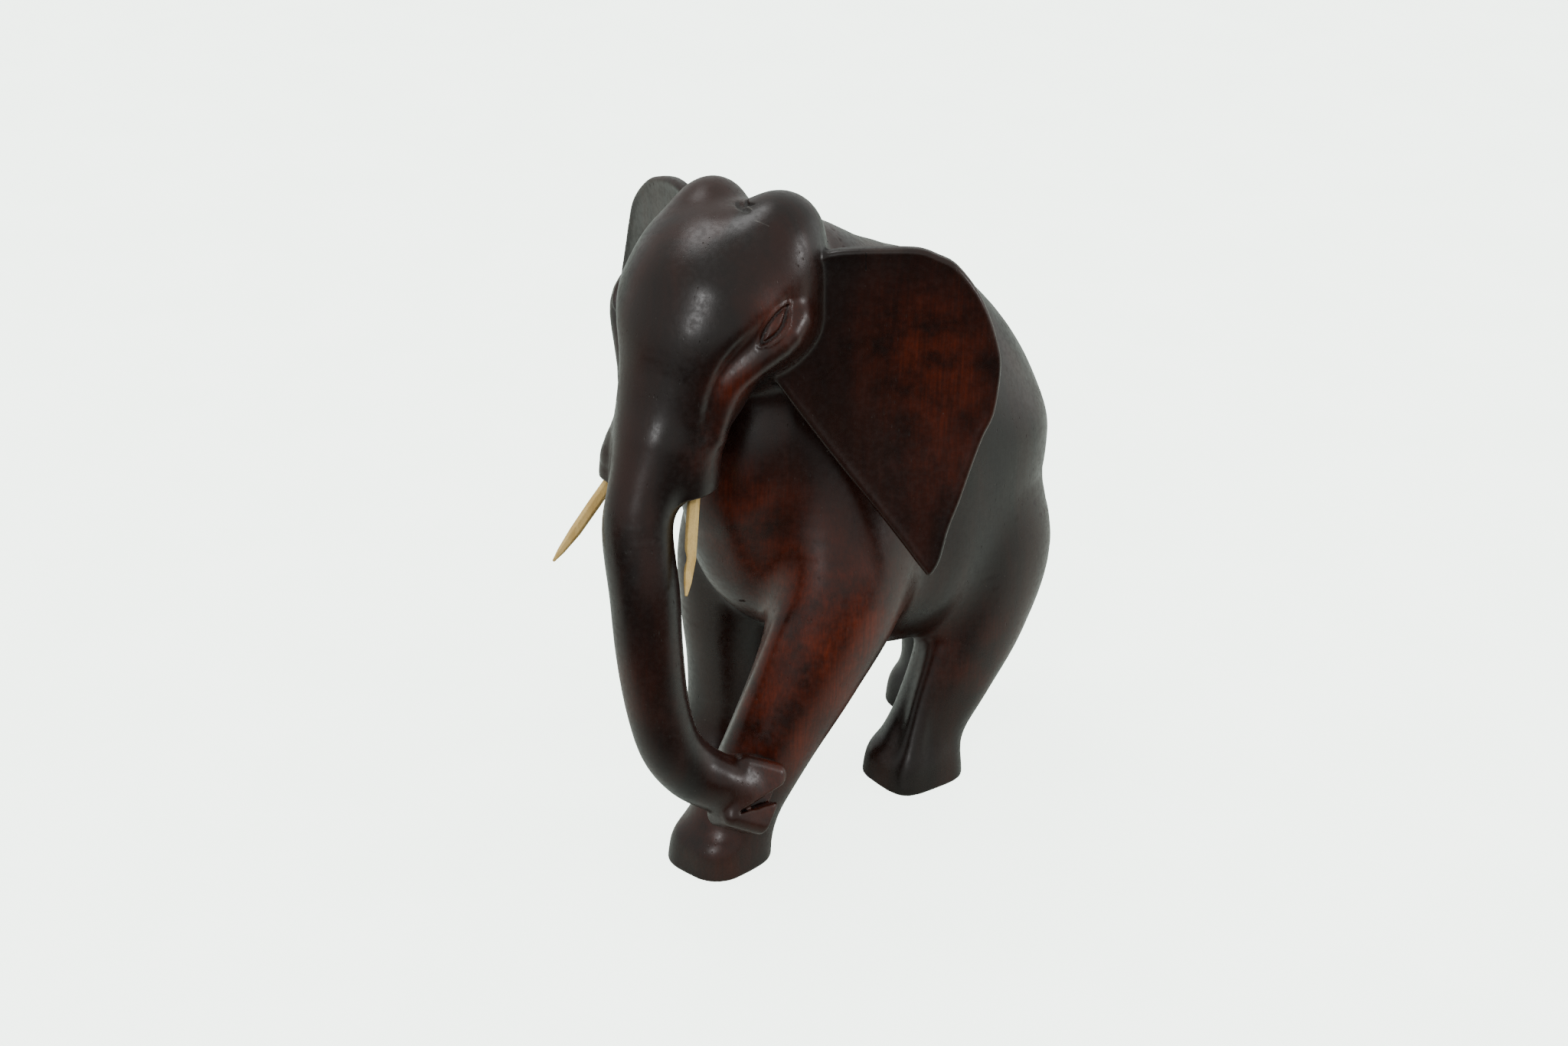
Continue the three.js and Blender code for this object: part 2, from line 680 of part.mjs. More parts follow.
// The trunk's tip: its middle, the way that it points, and the way across its end that rises.
const tip = {
  centre: [58.8, -96.8, 47.1],
  along: unitVector([0.355, 0.832, -0.426]),
  rise: [-0.329, 0.533, 0.78],
  back: -13,
  end: 11.5,
  slant: 0.227,
  inner: [-7, -9.5],
  mouthRise: 35 * degree,
  mouthLength: 30,
};
const tipRise = unitVector(sub(tip.rise, scale(tip.along, dot(tip.rise, tip.along))));
const tipOut = cross(tip.along, tipRise);

// Point of the tip from its own axes: along, rise and out.
function tipPoint(a, b, c) {
  const offset = add(add(scale(tip.along, a), scale(tipRise, b)), scale(tipOut, c));
  return scale(add(tip.centre, offset), unit);
}

// Rounded block at the trunk's tip; its end leans back toward the lower lip.
function tipBlock() {
  const halfRise = trunkTipWidth / 2 / unit;
  const halfOut = trunkTipDepth / 2 / unit;
  const rows = [[tip.back, 0.7], [tip.back + 4, 0.97], [0, 1], [tip.end - 5, 1], [tip.end - 1.5, 0.93], [tip.end, 0.8]];
  return loft(rows.map(([a, size]) => {
    const out = [];
    for (let n = 0; n < 24; n += 1) {
      const angle = (2 * Math.PI * n) / 24;
      const [c, s] = [Math.cos(angle), Math.sin(angle)];
      const square = (Math.abs(c) ** 3.2 + Math.abs(s) ** 3.2) ** (-1 / 3.2);
      const b = halfRise * size * square * c;
      const lean = Math.max(a / tip.end, 0) * tip.slant * b;
      out.push(tipPoint(a + lean, b, halfOut * size * square * s));
    }
    return out;
  }));
}

// The mouth: a wedge between two planes that part from an inner line, cut down from the outer face.
function tipMouth() {
  const outer = trunkTipDepth / 2 / unit;
  const floor = outer - trunkMouthDepth / unit;
  const [c, s] = [Math.cos(tip.mouthRise), Math.sin(tip.mouthRise)];
  const corner = (ahead, aside, height) => {
    const a = tip.inner[0] + ahead * c - aside * s;
    const b = tip.inner[1] + ahead * s + aside * c;
    return tipPoint(a, b, height);
  };
  const half = trunkMouthGap / 2 / unit;
  const wedge = (height) => [
    corner(0, -0.4, height), corner(tip.mouthLength, -half * 1.15, height),
    corner(tip.mouthLength, half * 1.15, height), corner(0, 0.4, height),
  ];
  return loft([wedge(floor), wedge(outer + 8)]);
}

// Section: the whole
function carving() {
  const field = (p) => carvingDistance(scale(p, 1 / unit)) * unit - skinProud;
  const low = scale([-75, -172, -26], unit);
  const high = scale([96, 152, 326], unit);
  const { points, quads } = closedSkin(field, low, high, skinStep);
  let body = solid(points, triangles(points, quads));
  for (const shape of ears) {
    body = body.add(ear(shape));
    body = body.add(eye(shape.side));
  }
  body = body.add(tipBlock());
  for (const seat of Object.values(tuskSeats)) {
    body = body.add(sheath(seat));
  }
  for (const seat of Object.values(tuskSeats)) {
    body = body.subtract(socket(seat));
  }
  body = body.subtract(tipMouth());
  const floor = loft([
    ring([0, 0, -90 * unit], [1, 0, 0], [0, 1, 0], 400 * unit, 400 * unit, 4),
    ring([0, 0, 0], [1, 0, 0], [0, 1, 0], 400 * unit, 400 * unit, 4),
  ]);
  return body.subtract(floor);
}

const pieces = [
  { name: "carved_elephant", body: carving(), colour: 0x3a1c14, roughness: 0.42 },
  { name: "left_tusk", body: tusk(tuskSeats.left), colour: 0xd9b877, roughness: 0.6 },
  { name: "right_tusk", body: tusk(tuskSeats.right), colour: 0xd9b877, roughness: 0.6 },
];

// The frame's origin is the bottom centre of the whole carving's box.
const box = new THREE.Box3();
for (const piece of pieces) {
  const bounds = piece.body.boundingBox();
  box.expandByPoint(new THREE.Vector3(...bounds.min));
  box.expandByPoint(new THREE.Vector3(...bounds.max));
}
const centre = box.getCenter(new THREE.Vector3());

function meshOf(piece) {
  const mesh = piece.body.getMesh();
  const geometry = new THREE.BufferGeometry();
  geometry.setAttribute("position", new THREE.BufferAttribute(new Float32Array(mesh.vertProperties), 3));
  geometry.setIndex(new THREE.BufferAttribute(new Uint32Array(mesh.triVerts), 1));
  geometry.translate(-centre.x, -centre.y, -box.min.z);
  geometry.computeVertexNormals();
  const material = new THREE.MeshStandardMaterial({
    color: piece.colour,
    roughness: piece.roughness,
    metalness: 0,
  });
  const result = new THREE.Mesh(geometry, material);
  result.name = piece.name;
  return result;
}

const elephant = new THREE.Group();
elephant.name = "elephant_sculpture";
for (const piece of pieces) {
  elephant.add(meshOf(piece));
}

export default elephant;
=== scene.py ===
"""Carved wooden elephant with two whittled tusks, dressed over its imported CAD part.

The elephant is one carving of dark waxed wood: its form is a field of distances, and a fine net
of faces is laid on the field's zero level.  The tusks are pale whittled sticks.  Shapes are worked
out in millimetres in the body's own axes (+X the elephant's left, -Y forward, +Z up) and moved to
the part's frame, in metres, when a mesh is made.
"""

import logging
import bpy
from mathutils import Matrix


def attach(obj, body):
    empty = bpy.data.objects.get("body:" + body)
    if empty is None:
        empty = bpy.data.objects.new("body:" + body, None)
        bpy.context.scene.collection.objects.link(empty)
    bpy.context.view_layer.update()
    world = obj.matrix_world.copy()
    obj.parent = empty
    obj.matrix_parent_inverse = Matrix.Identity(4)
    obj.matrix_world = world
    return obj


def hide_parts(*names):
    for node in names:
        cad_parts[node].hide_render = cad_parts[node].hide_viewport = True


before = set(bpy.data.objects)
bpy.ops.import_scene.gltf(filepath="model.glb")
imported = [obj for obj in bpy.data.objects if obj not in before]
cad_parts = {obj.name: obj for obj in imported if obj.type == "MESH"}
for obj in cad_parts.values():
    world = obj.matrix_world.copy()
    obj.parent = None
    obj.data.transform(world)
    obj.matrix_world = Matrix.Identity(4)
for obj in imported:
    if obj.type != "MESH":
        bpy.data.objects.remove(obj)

from concurrent.futures import ThreadPoolExecutor
from dataclasses import dataclass
from enum import Enum
from functools import cached_property
from typing import Callable, ClassVar, Sequence

import bmesh
import bpy
import numpy as np
from mathutils import Matrix, Vector

LOG = logging.getLogger("elephant")
REAL = np.float32
Points = np.ndarray
Values = np.ndarray
Distance = Callable[[Points], Values]

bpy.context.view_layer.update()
BODY_TO_PART = np.array([3.1762, 17.5346, 0.0])
MILLIMETRE = 0.001


class Side(Enum):
    """The elephant's own left and right."""

    LEFT = 1
    RIGHT = -1


# Arrays and distances


def unit(vectors: np.ndarray) -> np.ndarray:
    """Vectors divided by their lengths.

    Args:
        vectors: Rows of vectors, or one vector.

    Returns:
        The same rows with length one.
    """
    return vectors / np.maximum(np.linalg.norm(vectors, axis=-1, keepdims=True), 1e-9)


def spline(a: np.ndarray, b: np.ndarray, c: np.ndarray, d: np.ndarray, f: np.ndarray) -> np.ndarray:
    """Points of the cubic from b to c, whose slopes are half the way from a to c and from b to d.

    Args:
        a: Keys before the spans.
        b: The spans' first keys.
        c: The spans' last keys.
        d: Keys after the spans.
        f: How far along its span each point lies, from 0 to 1.

    Returns:
        The points.
    """
    bow = (2 * a - 5 * b + 4 * c - d) * f**2
    twist = (3 * b - a - 3 * c + d) * f**3
    return 0.5 * (2 * b + (c - a) * f + bow + twist)


def smooth_rows(keys: Sequence[Sequence[float]], count: int) -> np.ndarray:
    """Samples a Catmull-Rom curve through rows of keys at even steps of its parameter.

    The first and last keys are mirrored to give the end slopes.

    Args:
        keys: Rows of numbers to pass through.
        count: How many samples to take.

    Returns:
        One row for each sample.
    """
    rows = np.asarray(keys, float)
    rows = np.vstack([2 * rows[0] - rows[1], rows, 2 * rows[-1] - rows[-2]])
    t = np.linspace(0, len(rows) - 3, count)
    i = np.minimum(t.astype(int), len(rows) - 4)
    f = (t - i)[:, None]
    return spline(rows[i], rows[i + 1], rows[i + 2], rows[i + 3], f)


def smooth_ring(keys: Sequence[Sequence[float]], steps: int) -> np.ndarray:
    """Samples a closed Catmull-Rom curve through points of a plane.

    Args:
        keys: The curve's points in order, the last joined to the first.
        steps: How many samples each span gets.

    Returns:
        The closed ring of points.
    """
    rows = np.asarray(keys, float)
    f = (np.arange(steps) / steps)[None, :, None]
    keys_around = [np.roll(rows, shift, 0)[:, None] for shift in (1, 0, -1, -2)]
    return spline(*keys_around, f).reshape(-1, 2)


def box_gap(points: Points, low: np.ndarray, high: np.ndarray) -> Values:
    """Distance from each point to a box, zero inside it."""
    out = np.maximum(np.maximum(low - points, points - high), 0)
    return np.sqrt((out * out).sum(1))


def edge_gap(offsets: Points, edge: np.ndarray) -> tuple[Values, Values]:
    """Finds the nearest point of a straight edge.

    Args:
        offsets: Points from the edge's start.
        edge: From the edge's start to its end.

    Returns:
        The share of the edge that each is nearest to, and the squared distance to it.
    """
    share = np.clip((offsets @ edge) / (edge @ edge), 0, 1)
    gap = offsets - share[:, None] * edge
    return share, (gap * gap).sum(1)


def blend(a: Values, b: Values, width: float) -> Values:
    """Lesser of two distances, with the seam between them filled over a width.

    The lesser value, less the cube of how far the two are within the width of each other.

    Args:
        a: First distances.
        b: Second distances.
        width: Width of the filled seam.

    Returns:
        Distances to the joined form.
    """
    near = np.maximum(width - np.abs(a - b), 0) / width
    return np.minimum(a, b) - near**3 * (width / 6)


def carve(a: Values, b: Values, width: float) -> Values:
    """Greater of two distances, with the edge between them rounded over a width.

    Args:
        a: Distances to the form that is cut.
        b: Distances to the half that is kept.
        width: Width of the rounded edge.

    Returns:
        Distances to the cut form.
    """
    return -blend(-a, -b, width)


def ellipsoid_distance(offsets: Points, radii: np.ndarray) -> Values:
    """Distance to an ellipsoid about the origin, exact on its surface and close near it.

    With each offset divided by the radii, its length times its length less one, over the length
    of the offset divided by the radii twice.

    Args:
        offsets: Points from the ellipsoid's centre, in its own axes.
        radii: The three half sizes.

    Returns:
        Signed distances.
    """
    share = offsets / radii
    inner = np.sqrt((share * share).sum(1))
    outer = np.sqrt(((share / radii) ** 2).sum(1)) + REAL(1e-6)
    return inner * (inner - 1) / outer


def plane_turn(degrees: float) -> np.ndarray:
    """Matrix whose columns are the X, Y and Z axes turned about Z.

    Args:
        degrees: The turn.

    Returns:
        The 3 by 3 matrix.
    """
    a = np.radians(degrees)
    return np.array([[np.cos(a), -np.sin(a), 0], [np.sin(a), np.cos(a), 0], [0, 0, 1]], REAL)


@dataclass(frozen=True)
class Limb:
    """Ellipsoids strung along a smooth curve.

    Each key is x, y, z, half width and half depth; side is the way that the half width is
    measured, squared to the curve.
    """

    keys: tuple[tuple[float, ...], ...]
    count: int = 40
    side: tuple[float, float, float] = (1.0, 0.0, 0.0)
    near: float = 22.0
    margin: float = 6.0

    @cached_property
    def beads(self) -> tuple[np.ndarray, np.ndarray, np.ndarray]:
        """Centres, axes (as rows) and radii of the ellipsoids."""
        rows = smooth_rows(self.keys, self.count)
        along = unit(np.gradient(rows[:, :3], axis=0))
        side = np.asarray(self.side, float)
        across = unit(side - (along @ side)[:, None] * along)
        depth = np.cross(along, across)
        radii = np.stack([rows[:, 3], rows[:, 4], np.minimum(rows[:, 3], rows[:, 4])], 1)
        axes = np.stack([across, depth, along], 1)
        return rows[:, :3].astype(REAL), axes.astype(REAL), radii.astype(REAL)

    def distance(self, points: Points) -> Values:
        """Distance to the envelope of the beads, or to the limb's box where that is far off.

        The least bead distance is refined by the parabola through it and its two neighbours, so
        that the limb is smooth between its beads.

        Args:
            points: Rows of points in millimetres.

        Returns:
            Signed distances.
        """
        centres, axes, radii = self.beads
        reach = radii.max(1, keepdims=True)
        full = box_gap(points, (centres - reach).min(0), (centres + reach).max(0))
        near = full < self.near
        full += REAL(self.margin)
        if not near.any():
            return full
        close = points[near]
        beads = zip(centres, axes, radii)
        rows = np.stack([ellipsoid_distance((close - c) @ a.T, r) for c, a, r in beads])
        at = np.clip(rows.argmin(0), 1, len(rows) - 2)[None]
        before, here, after = (np.take_along_axis(rows, at + k, 0)[0] for k in (-1, 0, 1))
        bow = np.maximum(before + after - 2 * here, REAL(1e-4))
        step = np.clip((before - after) / (2 * bow), -1, 1)
        full[near] = here + (after - before) / 2 * step + bow / 2 * step * step
        return full


@dataclass(frozen=True)
class Roll:
    """A round-sectioned ridge or groove along a smooth curve, from keys of x, y, z and radius."""

    keys: tuple[tuple[float, ...], ...]
    count: int = 14
    near: float = 14.0
    margin: float = 3.0

    @cached_property
    def rows(self) -> np.ndarray:
        """Points of the curve with their radii."""
        return smooth_rows(self.keys, self.count).astype(REAL)

    def distance(self, points: Points) -> Values:
        """Distance to the roll, or to its box where that is far off.

        Each straight piece of the curve gives the distance to its nearest point, less the radius
        there, and the least of them is taken.

        Args:
            points: Rows of points in millimetres.

        Returns:
            Signed distances.
        """
        rows = self.rows
        reach = rows[:, 3:].max()
        full = box_gap(points, rows[:, :3].min(0) - reach, rows[:, :3].max(0) + reach)
        near = full < self.near
        full += REAL(self.margin)
        if not near.any():
            return full
        close = points[near]
        least = np.full(len(close), 1e3, REAL)
        for a, b in zip(rows[:-1], rows[1:]):
            share, gap = edge_gap(close - a[:3], (b - a)[:3])
            least = np.minimum(least, np.sqrt(gap) - a[3] - share * (b[3] - a[3]))
        full[near] = least
        return full


@dataclass(frozen=True)
class HeadAxes:
    """The head's own axes: turned to the elephant's left about the vertical."""

    turn: float = 18.0
    place: tuple[float, float, float] = (9.0, -68.5, 0.0)

    @cached_property
    def matrix(self) -> np.ndarray:
        """Columns are the head's left, back and up."""
        return plane_turn(self.turn)

    @property
    def left(self) -> tuple[float, float, float]:
        """The head's left in the body's axes."""
        return tuple(float(v) for v in self.matrix[:, 0])

    def to_body(self, points: Sequence) -> np.ndarray:
        """Points of the head's axes in the body's."""
        return np.asarray(points, REAL) @ self.matrix.T + np.asarray(self.place, REAL)

    def turned(self, vectors: Sequence) -> np.ndarray:
        """Directions of the head's axes in the body's."""
        return np.asarray(vectors, REAL) @ self.matrix.T

    def to_head(self, points: Points) -> np.ndarray:
        """Points of the body's axes in the head's."""
        return (points - np.asarray(self.place, REAL)) @ self.matrix

    def keys(self, rows: Sequence[Sequence[float]]) -> tuple[tuple[float, ...], ...]:
        """Limb keys given in the head's axes, with their places moved to the body's."""
        moved = np.asarray(rows, float)
        moved[:, :3] = self.to_body(moved[:, :3])
        return tuple(map(tuple, moved))


HEAD = HeadAxes()
HEAD_MIDDLE = -2.0


def mirrored(across: float, side: int) -> float:
    """A place across the head on its left for side 1, or that place's mirror on its right for -1."""
    return side * (across - HEAD_MIDDLE) + HEAD_MIDDLE


# The parts of the carving


@dataclass(frozen=True)
class Foot:
    """A squarish foot that flares toward the floor."""

    leg: Limb
    centre: tuple[float, float]
    turn: float
    corner: float
    half_width: float = 17.75
    half_length: float = 20.0
    half_height: float = 16.0
    flare: float = 0.09
    flare_height: float = 18.0
    flare_power: float = 1.6
    top_edge: float = 14.0
    ankle_seam: float = 16.0

    def distance(self, points: Points) -> Values:
        """Distance to the leg blended into its foot, a rounded block that runs below the floor.

        Args:
            points: Rows of points in millimetres.

        Returns:
            Signed distances.
        """
        q = (points - np.array([*self.centre, 0], REAL)) @ plane_turn(self.turn)
        sunk = np.clip((self.flare_height - q[:, 2]) / self.flare_height, 0, 1)
        spread = 1 + self.flare * sunk**self.flare_power
        ax = np.abs(q[:, 0]) / spread - (self.half_width - self.corner)
        ay = np.abs(q[:, 1]) / spread - (self.half_length - self.corner)
        corner = np.hypot(np.maximum(ax, 0), np.maximum(ay, 0))
        block = corner + np.minimum(np.maximum(ax, ay), 0) - self.corner
        block = carve(block, np.abs(q[:, 2]) - self.half_height, self.top_edge)
        return blend(self.leg.distance(points), block, self.ankle_seam)


@dataclass(frozen=True)
class Ear:
    """A cupped plate that leaves the head outward and back, with rounded rims."""

    side: Side
    root: tuple[float, float, float]
    outline: tuple[tuple[float, float], ...]
    lean: float = -2.5
    thickness: float = 5.4
    taper: float = 0.28
    taper_end: float = 160.0
    rim: float = 1.6
    cup: float = 5.0
    cup_centre: tuple[float, float] = (36.0, 70.0)
    cup_reach: float = 34.0
    set_back: float = 2.0
    lip: float = 0.5
    lip_inset: float = 2.2
    lip_width: float = 1.7
    way: tuple[float, float] = (0.839, 0.545)
    near_low: tuple[float, float, float] = (-60.0, -20.0, -25.0)
    near_high: tuple[float, float, float] = (95.0, 185.0, 25.0)
    chart_low: tuple[float, float] = (-62.0, -22.0)
    chart_high: tuple[float, float] = (97.0, 187.0)
    chart_step: float = 0.5

    @cached_property
    def axes(self) -> np.ndarray:
        """Rows are the ear's outward, down and normal directions in the body's axes."""
        s = float(self.side.value)
        sideways, back = self.way
        outward = unit(np.array([s * sideways, back, 0.0]))
        rear = unit(np.array([-s * back, sideways, 0.0]))
        a = np.radians(self.lean)
        down = np.array([0, 0, -1.0]) * np.cos(a) + rear * np.sin(a)
        normal = rear * np.cos(a) + np.array([0, 0, 1.0]) * np.sin(a)
        return HEAD.turned(np.stack([outward, down, normal]))

    @cached_property
    def chart(self) -> np.ndarray:
        """Signed distances to the outline on a fine grid over the ear's plane.

        Each is the distance to the nearest straight edge of the finely sampled outline, negative
        where the outline winds round the point.
        """
        u = np.arange(self.chart_low[0], self.chart_high[0], self.chart_step)
        v = np.arange(self.chart_low[1], self.chart_high[1], self.chart_step)
        flat = np.stack(np.meshgrid(u, v, indexing="ij"), -1).reshape(-1, 2)
        ring = smooth_ring(self.outline, 6)
        nearest = np.full(len(flat), 1e9)
        inside = np.zeros(len(flat), bool)
        for a, b in zip(ring, np.roll(ring, -1, 0)):
            edge, offset = b - a, flat - a
            nearest = np.minimum(nearest, edge_gap(offset, edge)[1])
            spans = (flat[:, 1] >= a[1]) != (flat[:, 1] >= b[1])
            crossing = a[0] + offset[:, 1] * edge[0] / (edge[1] if edge[1] else 1e-9)
            inside ^= spans & (flat[:, 0] < crossing)
        signed = np.where(inside, -1, 1) * np.sqrt(nearest)
        return signed.reshape(len(u), len(v)).astype(REAL)

    def own(self, points: Points) -> Points:
        """Points in the ear's own axes: outward, down, normal."""
        return (points - HEAD.to_body(self.root)) @ self.axes.T.astype(REAL)

    def outline_distance(self, u: Values, v: Values) -> Values:
        """Signed distance in the plane to the outline, read between the chart's grid points.

        Args:
            u: How far out the points lie.
            v: How far down they lie.

        Returns:
            Signed distances.
        """
        chart = self.chart
        last = np.array(chart.shape) - 1.001
        a = np.clip((u - self.chart_low[0]) / self.chart_step, 0, last[0]).astype(REAL)
        b = np.clip((v - self.chart_low[1]) / self.chart_step, 0, last[1]).astype(REAL)
        i, j = a.astype(int), b.astype(int)
        f, g = a - i, b - j
        low = chart[i, j] * (1 - f) + chart[i + 1, j] * f
        high = chart[i, j + 1] * (1 - f) + chart[i + 1, j + 1] * f
        return low * (1 - g) + high * g

    def distance(self, points: Points) -> Values:
        """Distance to the cupped plate.

        The plate's middle is lifted along its normal by a bell over the ear's centre, its half
        thickness falls toward the tip, and its rims are rounded.

        Args:
            points: Rows of points in millimetres.

        Returns:
            Signed distances, or a rough lower bound far off.
        """
        q = self.own(points)
        near = ((q > self.near_low) & (q < self.near_high)).all(1)
        full = np.where(near, 60, np.maximum(np.abs(q[:, 2]) - 5, 20)).astype(REAL)
        if not near.any():
            return full
        u, v, w = q[near].T
        from_centre = (u - self.cup_centre[0]) ** 2 + (v - self.cup_centre[1]) ** 2
        bell = self.cup * np.exp(-from_centre / (2 * self.cup_reach**2)) - self.set_back
        edge = self.outline_distance(u, v)
        half = self.thickness / 2 * (1 - self.taper * np.clip(v / self.taper_end, 0, 1))
        half = half + self.lip * np.exp(-(((edge + self.lip_inset) / self.lip_width) ** 2))
        a = edge + self.rim
        b = np.abs(w - bell) - half + self.rim
        corner = np.hypot(np.maximum(a, 0), np.maximum(b, 0))
        full[near] = np.minimum(np.maximum(a, b), 0) + corner - self.rim
        return full


@dataclass(frozen=True)
class Sheath:
    """A bump beside the trunk's root that ends in a flat mouth, where a tusk stands."""

    keys: tuple[tuple[float, ...], ...]
    mouth: float
    seam: float
    beads: int = 8
    mouth_edge: float = 1.2

    @cached_property
    def limb(self) -> Limb:
        """The bump as a limb in the body's axes."""
        return Limb(HEAD.keys(self.keys), self.beads, HEAD.left)

    def distance(self, points: Points) -> Values:
        """Distance to the bump, cut flat across at its mouth."""
        return carve(self.limb.distance(points), self.mouth - points[:, 2], self.mouth_edge)


@dataclass(frozen=True)
class TrunkTip:
    """The squarish end of the trunk, with a mouth that opens as a wedge."""

    centre: tuple[float, float, float] = (58.8, -96.8, 47.1)
    along: tuple[float, float, float] = (0.355, 0.832, -0.426)
    rise: tuple[float, float, float] = (-0.329, 0.533, 0.78)
    half: tuple[float, float, float] = (13.0, 16.5, 11.5)
    corner: float = 5.0
    slant: float = 0.227
    end: float = 11.5
    inner: tuple[float, float] = (-7.0, -9.5)
    mouth_rise: float = 35.0
    mouth_half: float = 7.0
    mouth_gap: float = 0.4
    mouth_edge: float = 1.6
    floor: float = 1.0
    end_edge: float = 3.0
    seam: float = 6.0
    near: float = 40.0

    @cached_property
    def axes(self) -> np.ndarray:
        """Rows are the tip's along, up and outward directions."""
        along = unit(np.asarray(self.along, float))
        rise = np.asarray(self.rise, float)
        rise = unit(rise - (rise @ along) * along)
        return np.stack([along, rise, np.cross(along, rise)]).astype(REAL)

    def shaped(self, points: Points, head: Values) -> Values:
        """Joins the tip's block to the head and trunk, then cuts its mouth.

        The block is a rounded box with a slanted end.  The mouth is a wedge between two planes that
        part from an inner line, cut down from the outer face to a floor.

        Args:
            points: Rows of points in millimetres.
            head: Distances to the head and trunk.

        Returns:
            Distances with the tip shaped.
        """
        q = (points - np.asarray(self.centre, REAL)) @ self.axes.T
        near = np.abs(q).max(1) < self.near
        if not near.any():
            return head
        a, b, c = q[near].T
        over = np.abs(q[near]) - np.asarray(self.half, REAL) + self.corner
        corner = np.linalg.norm(np.maximum(over, 0), axis=1)
        block = corner + np.minimum(over.max(1), 0) - self.corner
        end = (a - self.slant * b - self.end) / REAL(np.hypot(1, self.slant))
        tip = blend(head[near], carve(block, end, self.end_edge), self.seam)
        rise, half = np.radians(self.mouth_rise), np.radians(self.mouth_half)
        s = (a - self.inner[0]) * np.cos(rise) + (b - self.inner[1]) * np.sin(rise)
        t = (b - self.inner[1]) * np.cos(rise) - (a - self.inner[0]) * np.sin(rise)
        wedge = np.abs(t) * np.cos(half) - s * np.sin(half) - self.mouth_gap
        wedge = np.maximum(np.maximum(wedge, -s), self.floor - c)
        out = head.copy()
        out[near] = carve(tip, -wedge, self.mouth_edge)
        return out


@dataclass(frozen=True)
class Eye:
    """An almond eye with a lid ridge round it, worked into the side of the head as relief."""

    side: Side
    centre: tuple[float, float, float] = (37.2, -24.8, 264.7)
    length: float = 22.0
    width: float = 8.0
    corner_power: float = 0.8
    outward: tuple[float, float, float] = (0.86, -0.46, 0.22)
    along: tuple[float, float, float] = (0.0, 0.80, 0.60)
    near: tuple[float, float, float] = (16.0, 16.0, 12.0)
    ridge: tuple[float, float, float] = (0.5, 0.3, 1.0)
    groove: tuple[float, float, float] = (-0.7, -1.4, 0.9)
    ball: float = 0.7
    ball_inset: float = 1.6
    ball_slope: float = 2.2
    ball_power: float = 0.7

    @cached_property
    def axes(self) -> tuple[np.ndarray, np.ndarray]:
        """Centre, and rows along, up and outward, in the body's axes."""
        s = self.side.value
        x, y, z = self.centre
        place = HEAD.to_body([mirrored(x, s), y, z])
        outward = unit(HEAD.turned([s * self.outward[0], *self.outward[1:]]).astype(float))
        along = HEAD.turned(self.along).astype(float)
        along = unit(along - (along @ outward) * outward)
        return place, np.stack([along, s * np.cross(outward, along), outward]).astype(REAL)

    def relief(self, points: Points) -> Values:
        """Height of the eye over the head's surface.

        The almond is where two arcs meet.  Its edge carries a rounded ridge with a groove inside
        it, and the eyeball swells in the middle.

        Args:
            points: Rows of points in millimetres.

        Returns:
            Heights in millimetres, zero away from the eye.
        """
        place, rows = self.axes
        q = (points - place) @ rows.T
        high = np.zeros(len(points), REAL)
        near = (np.abs(q) < self.near).all(1)
        s, t, _ = q[near].T
        half = self.length / 2
        arc = self.width / 2 * np.maximum(1 - (s / half) ** 2, 0) ** self.corner_power
        edge = np.hypot(np.maximum(np.abs(s) - half, 0), np.maximum(np.abs(t) - arc, 0))
        inside = np.minimum(arc - np.abs(t), half - np.abs(s))
        d = np.where(edge > 0, edge, -np.maximum(inside, 0))
        ball = self.ball * np.clip(-(d + self.ball_inset) / self.ball_slope, 0, 1) ** self.ball_power
        for height, at, width in (self.ridge, self.groove):
            ball = ball + height * np.exp(-(((d - at) / width) ** 2))
        high[near] = ball
        return high


def bump(points: Points, centre: Sequence[float], radius: float) -> Values:
    """Smooth bell of height one about a point: the exponential of the squared share of a radius."""
    gap = points - np.asarray(centre, REAL)
    return np.exp(-(gap * gap).sum(1) / (radius * radius))


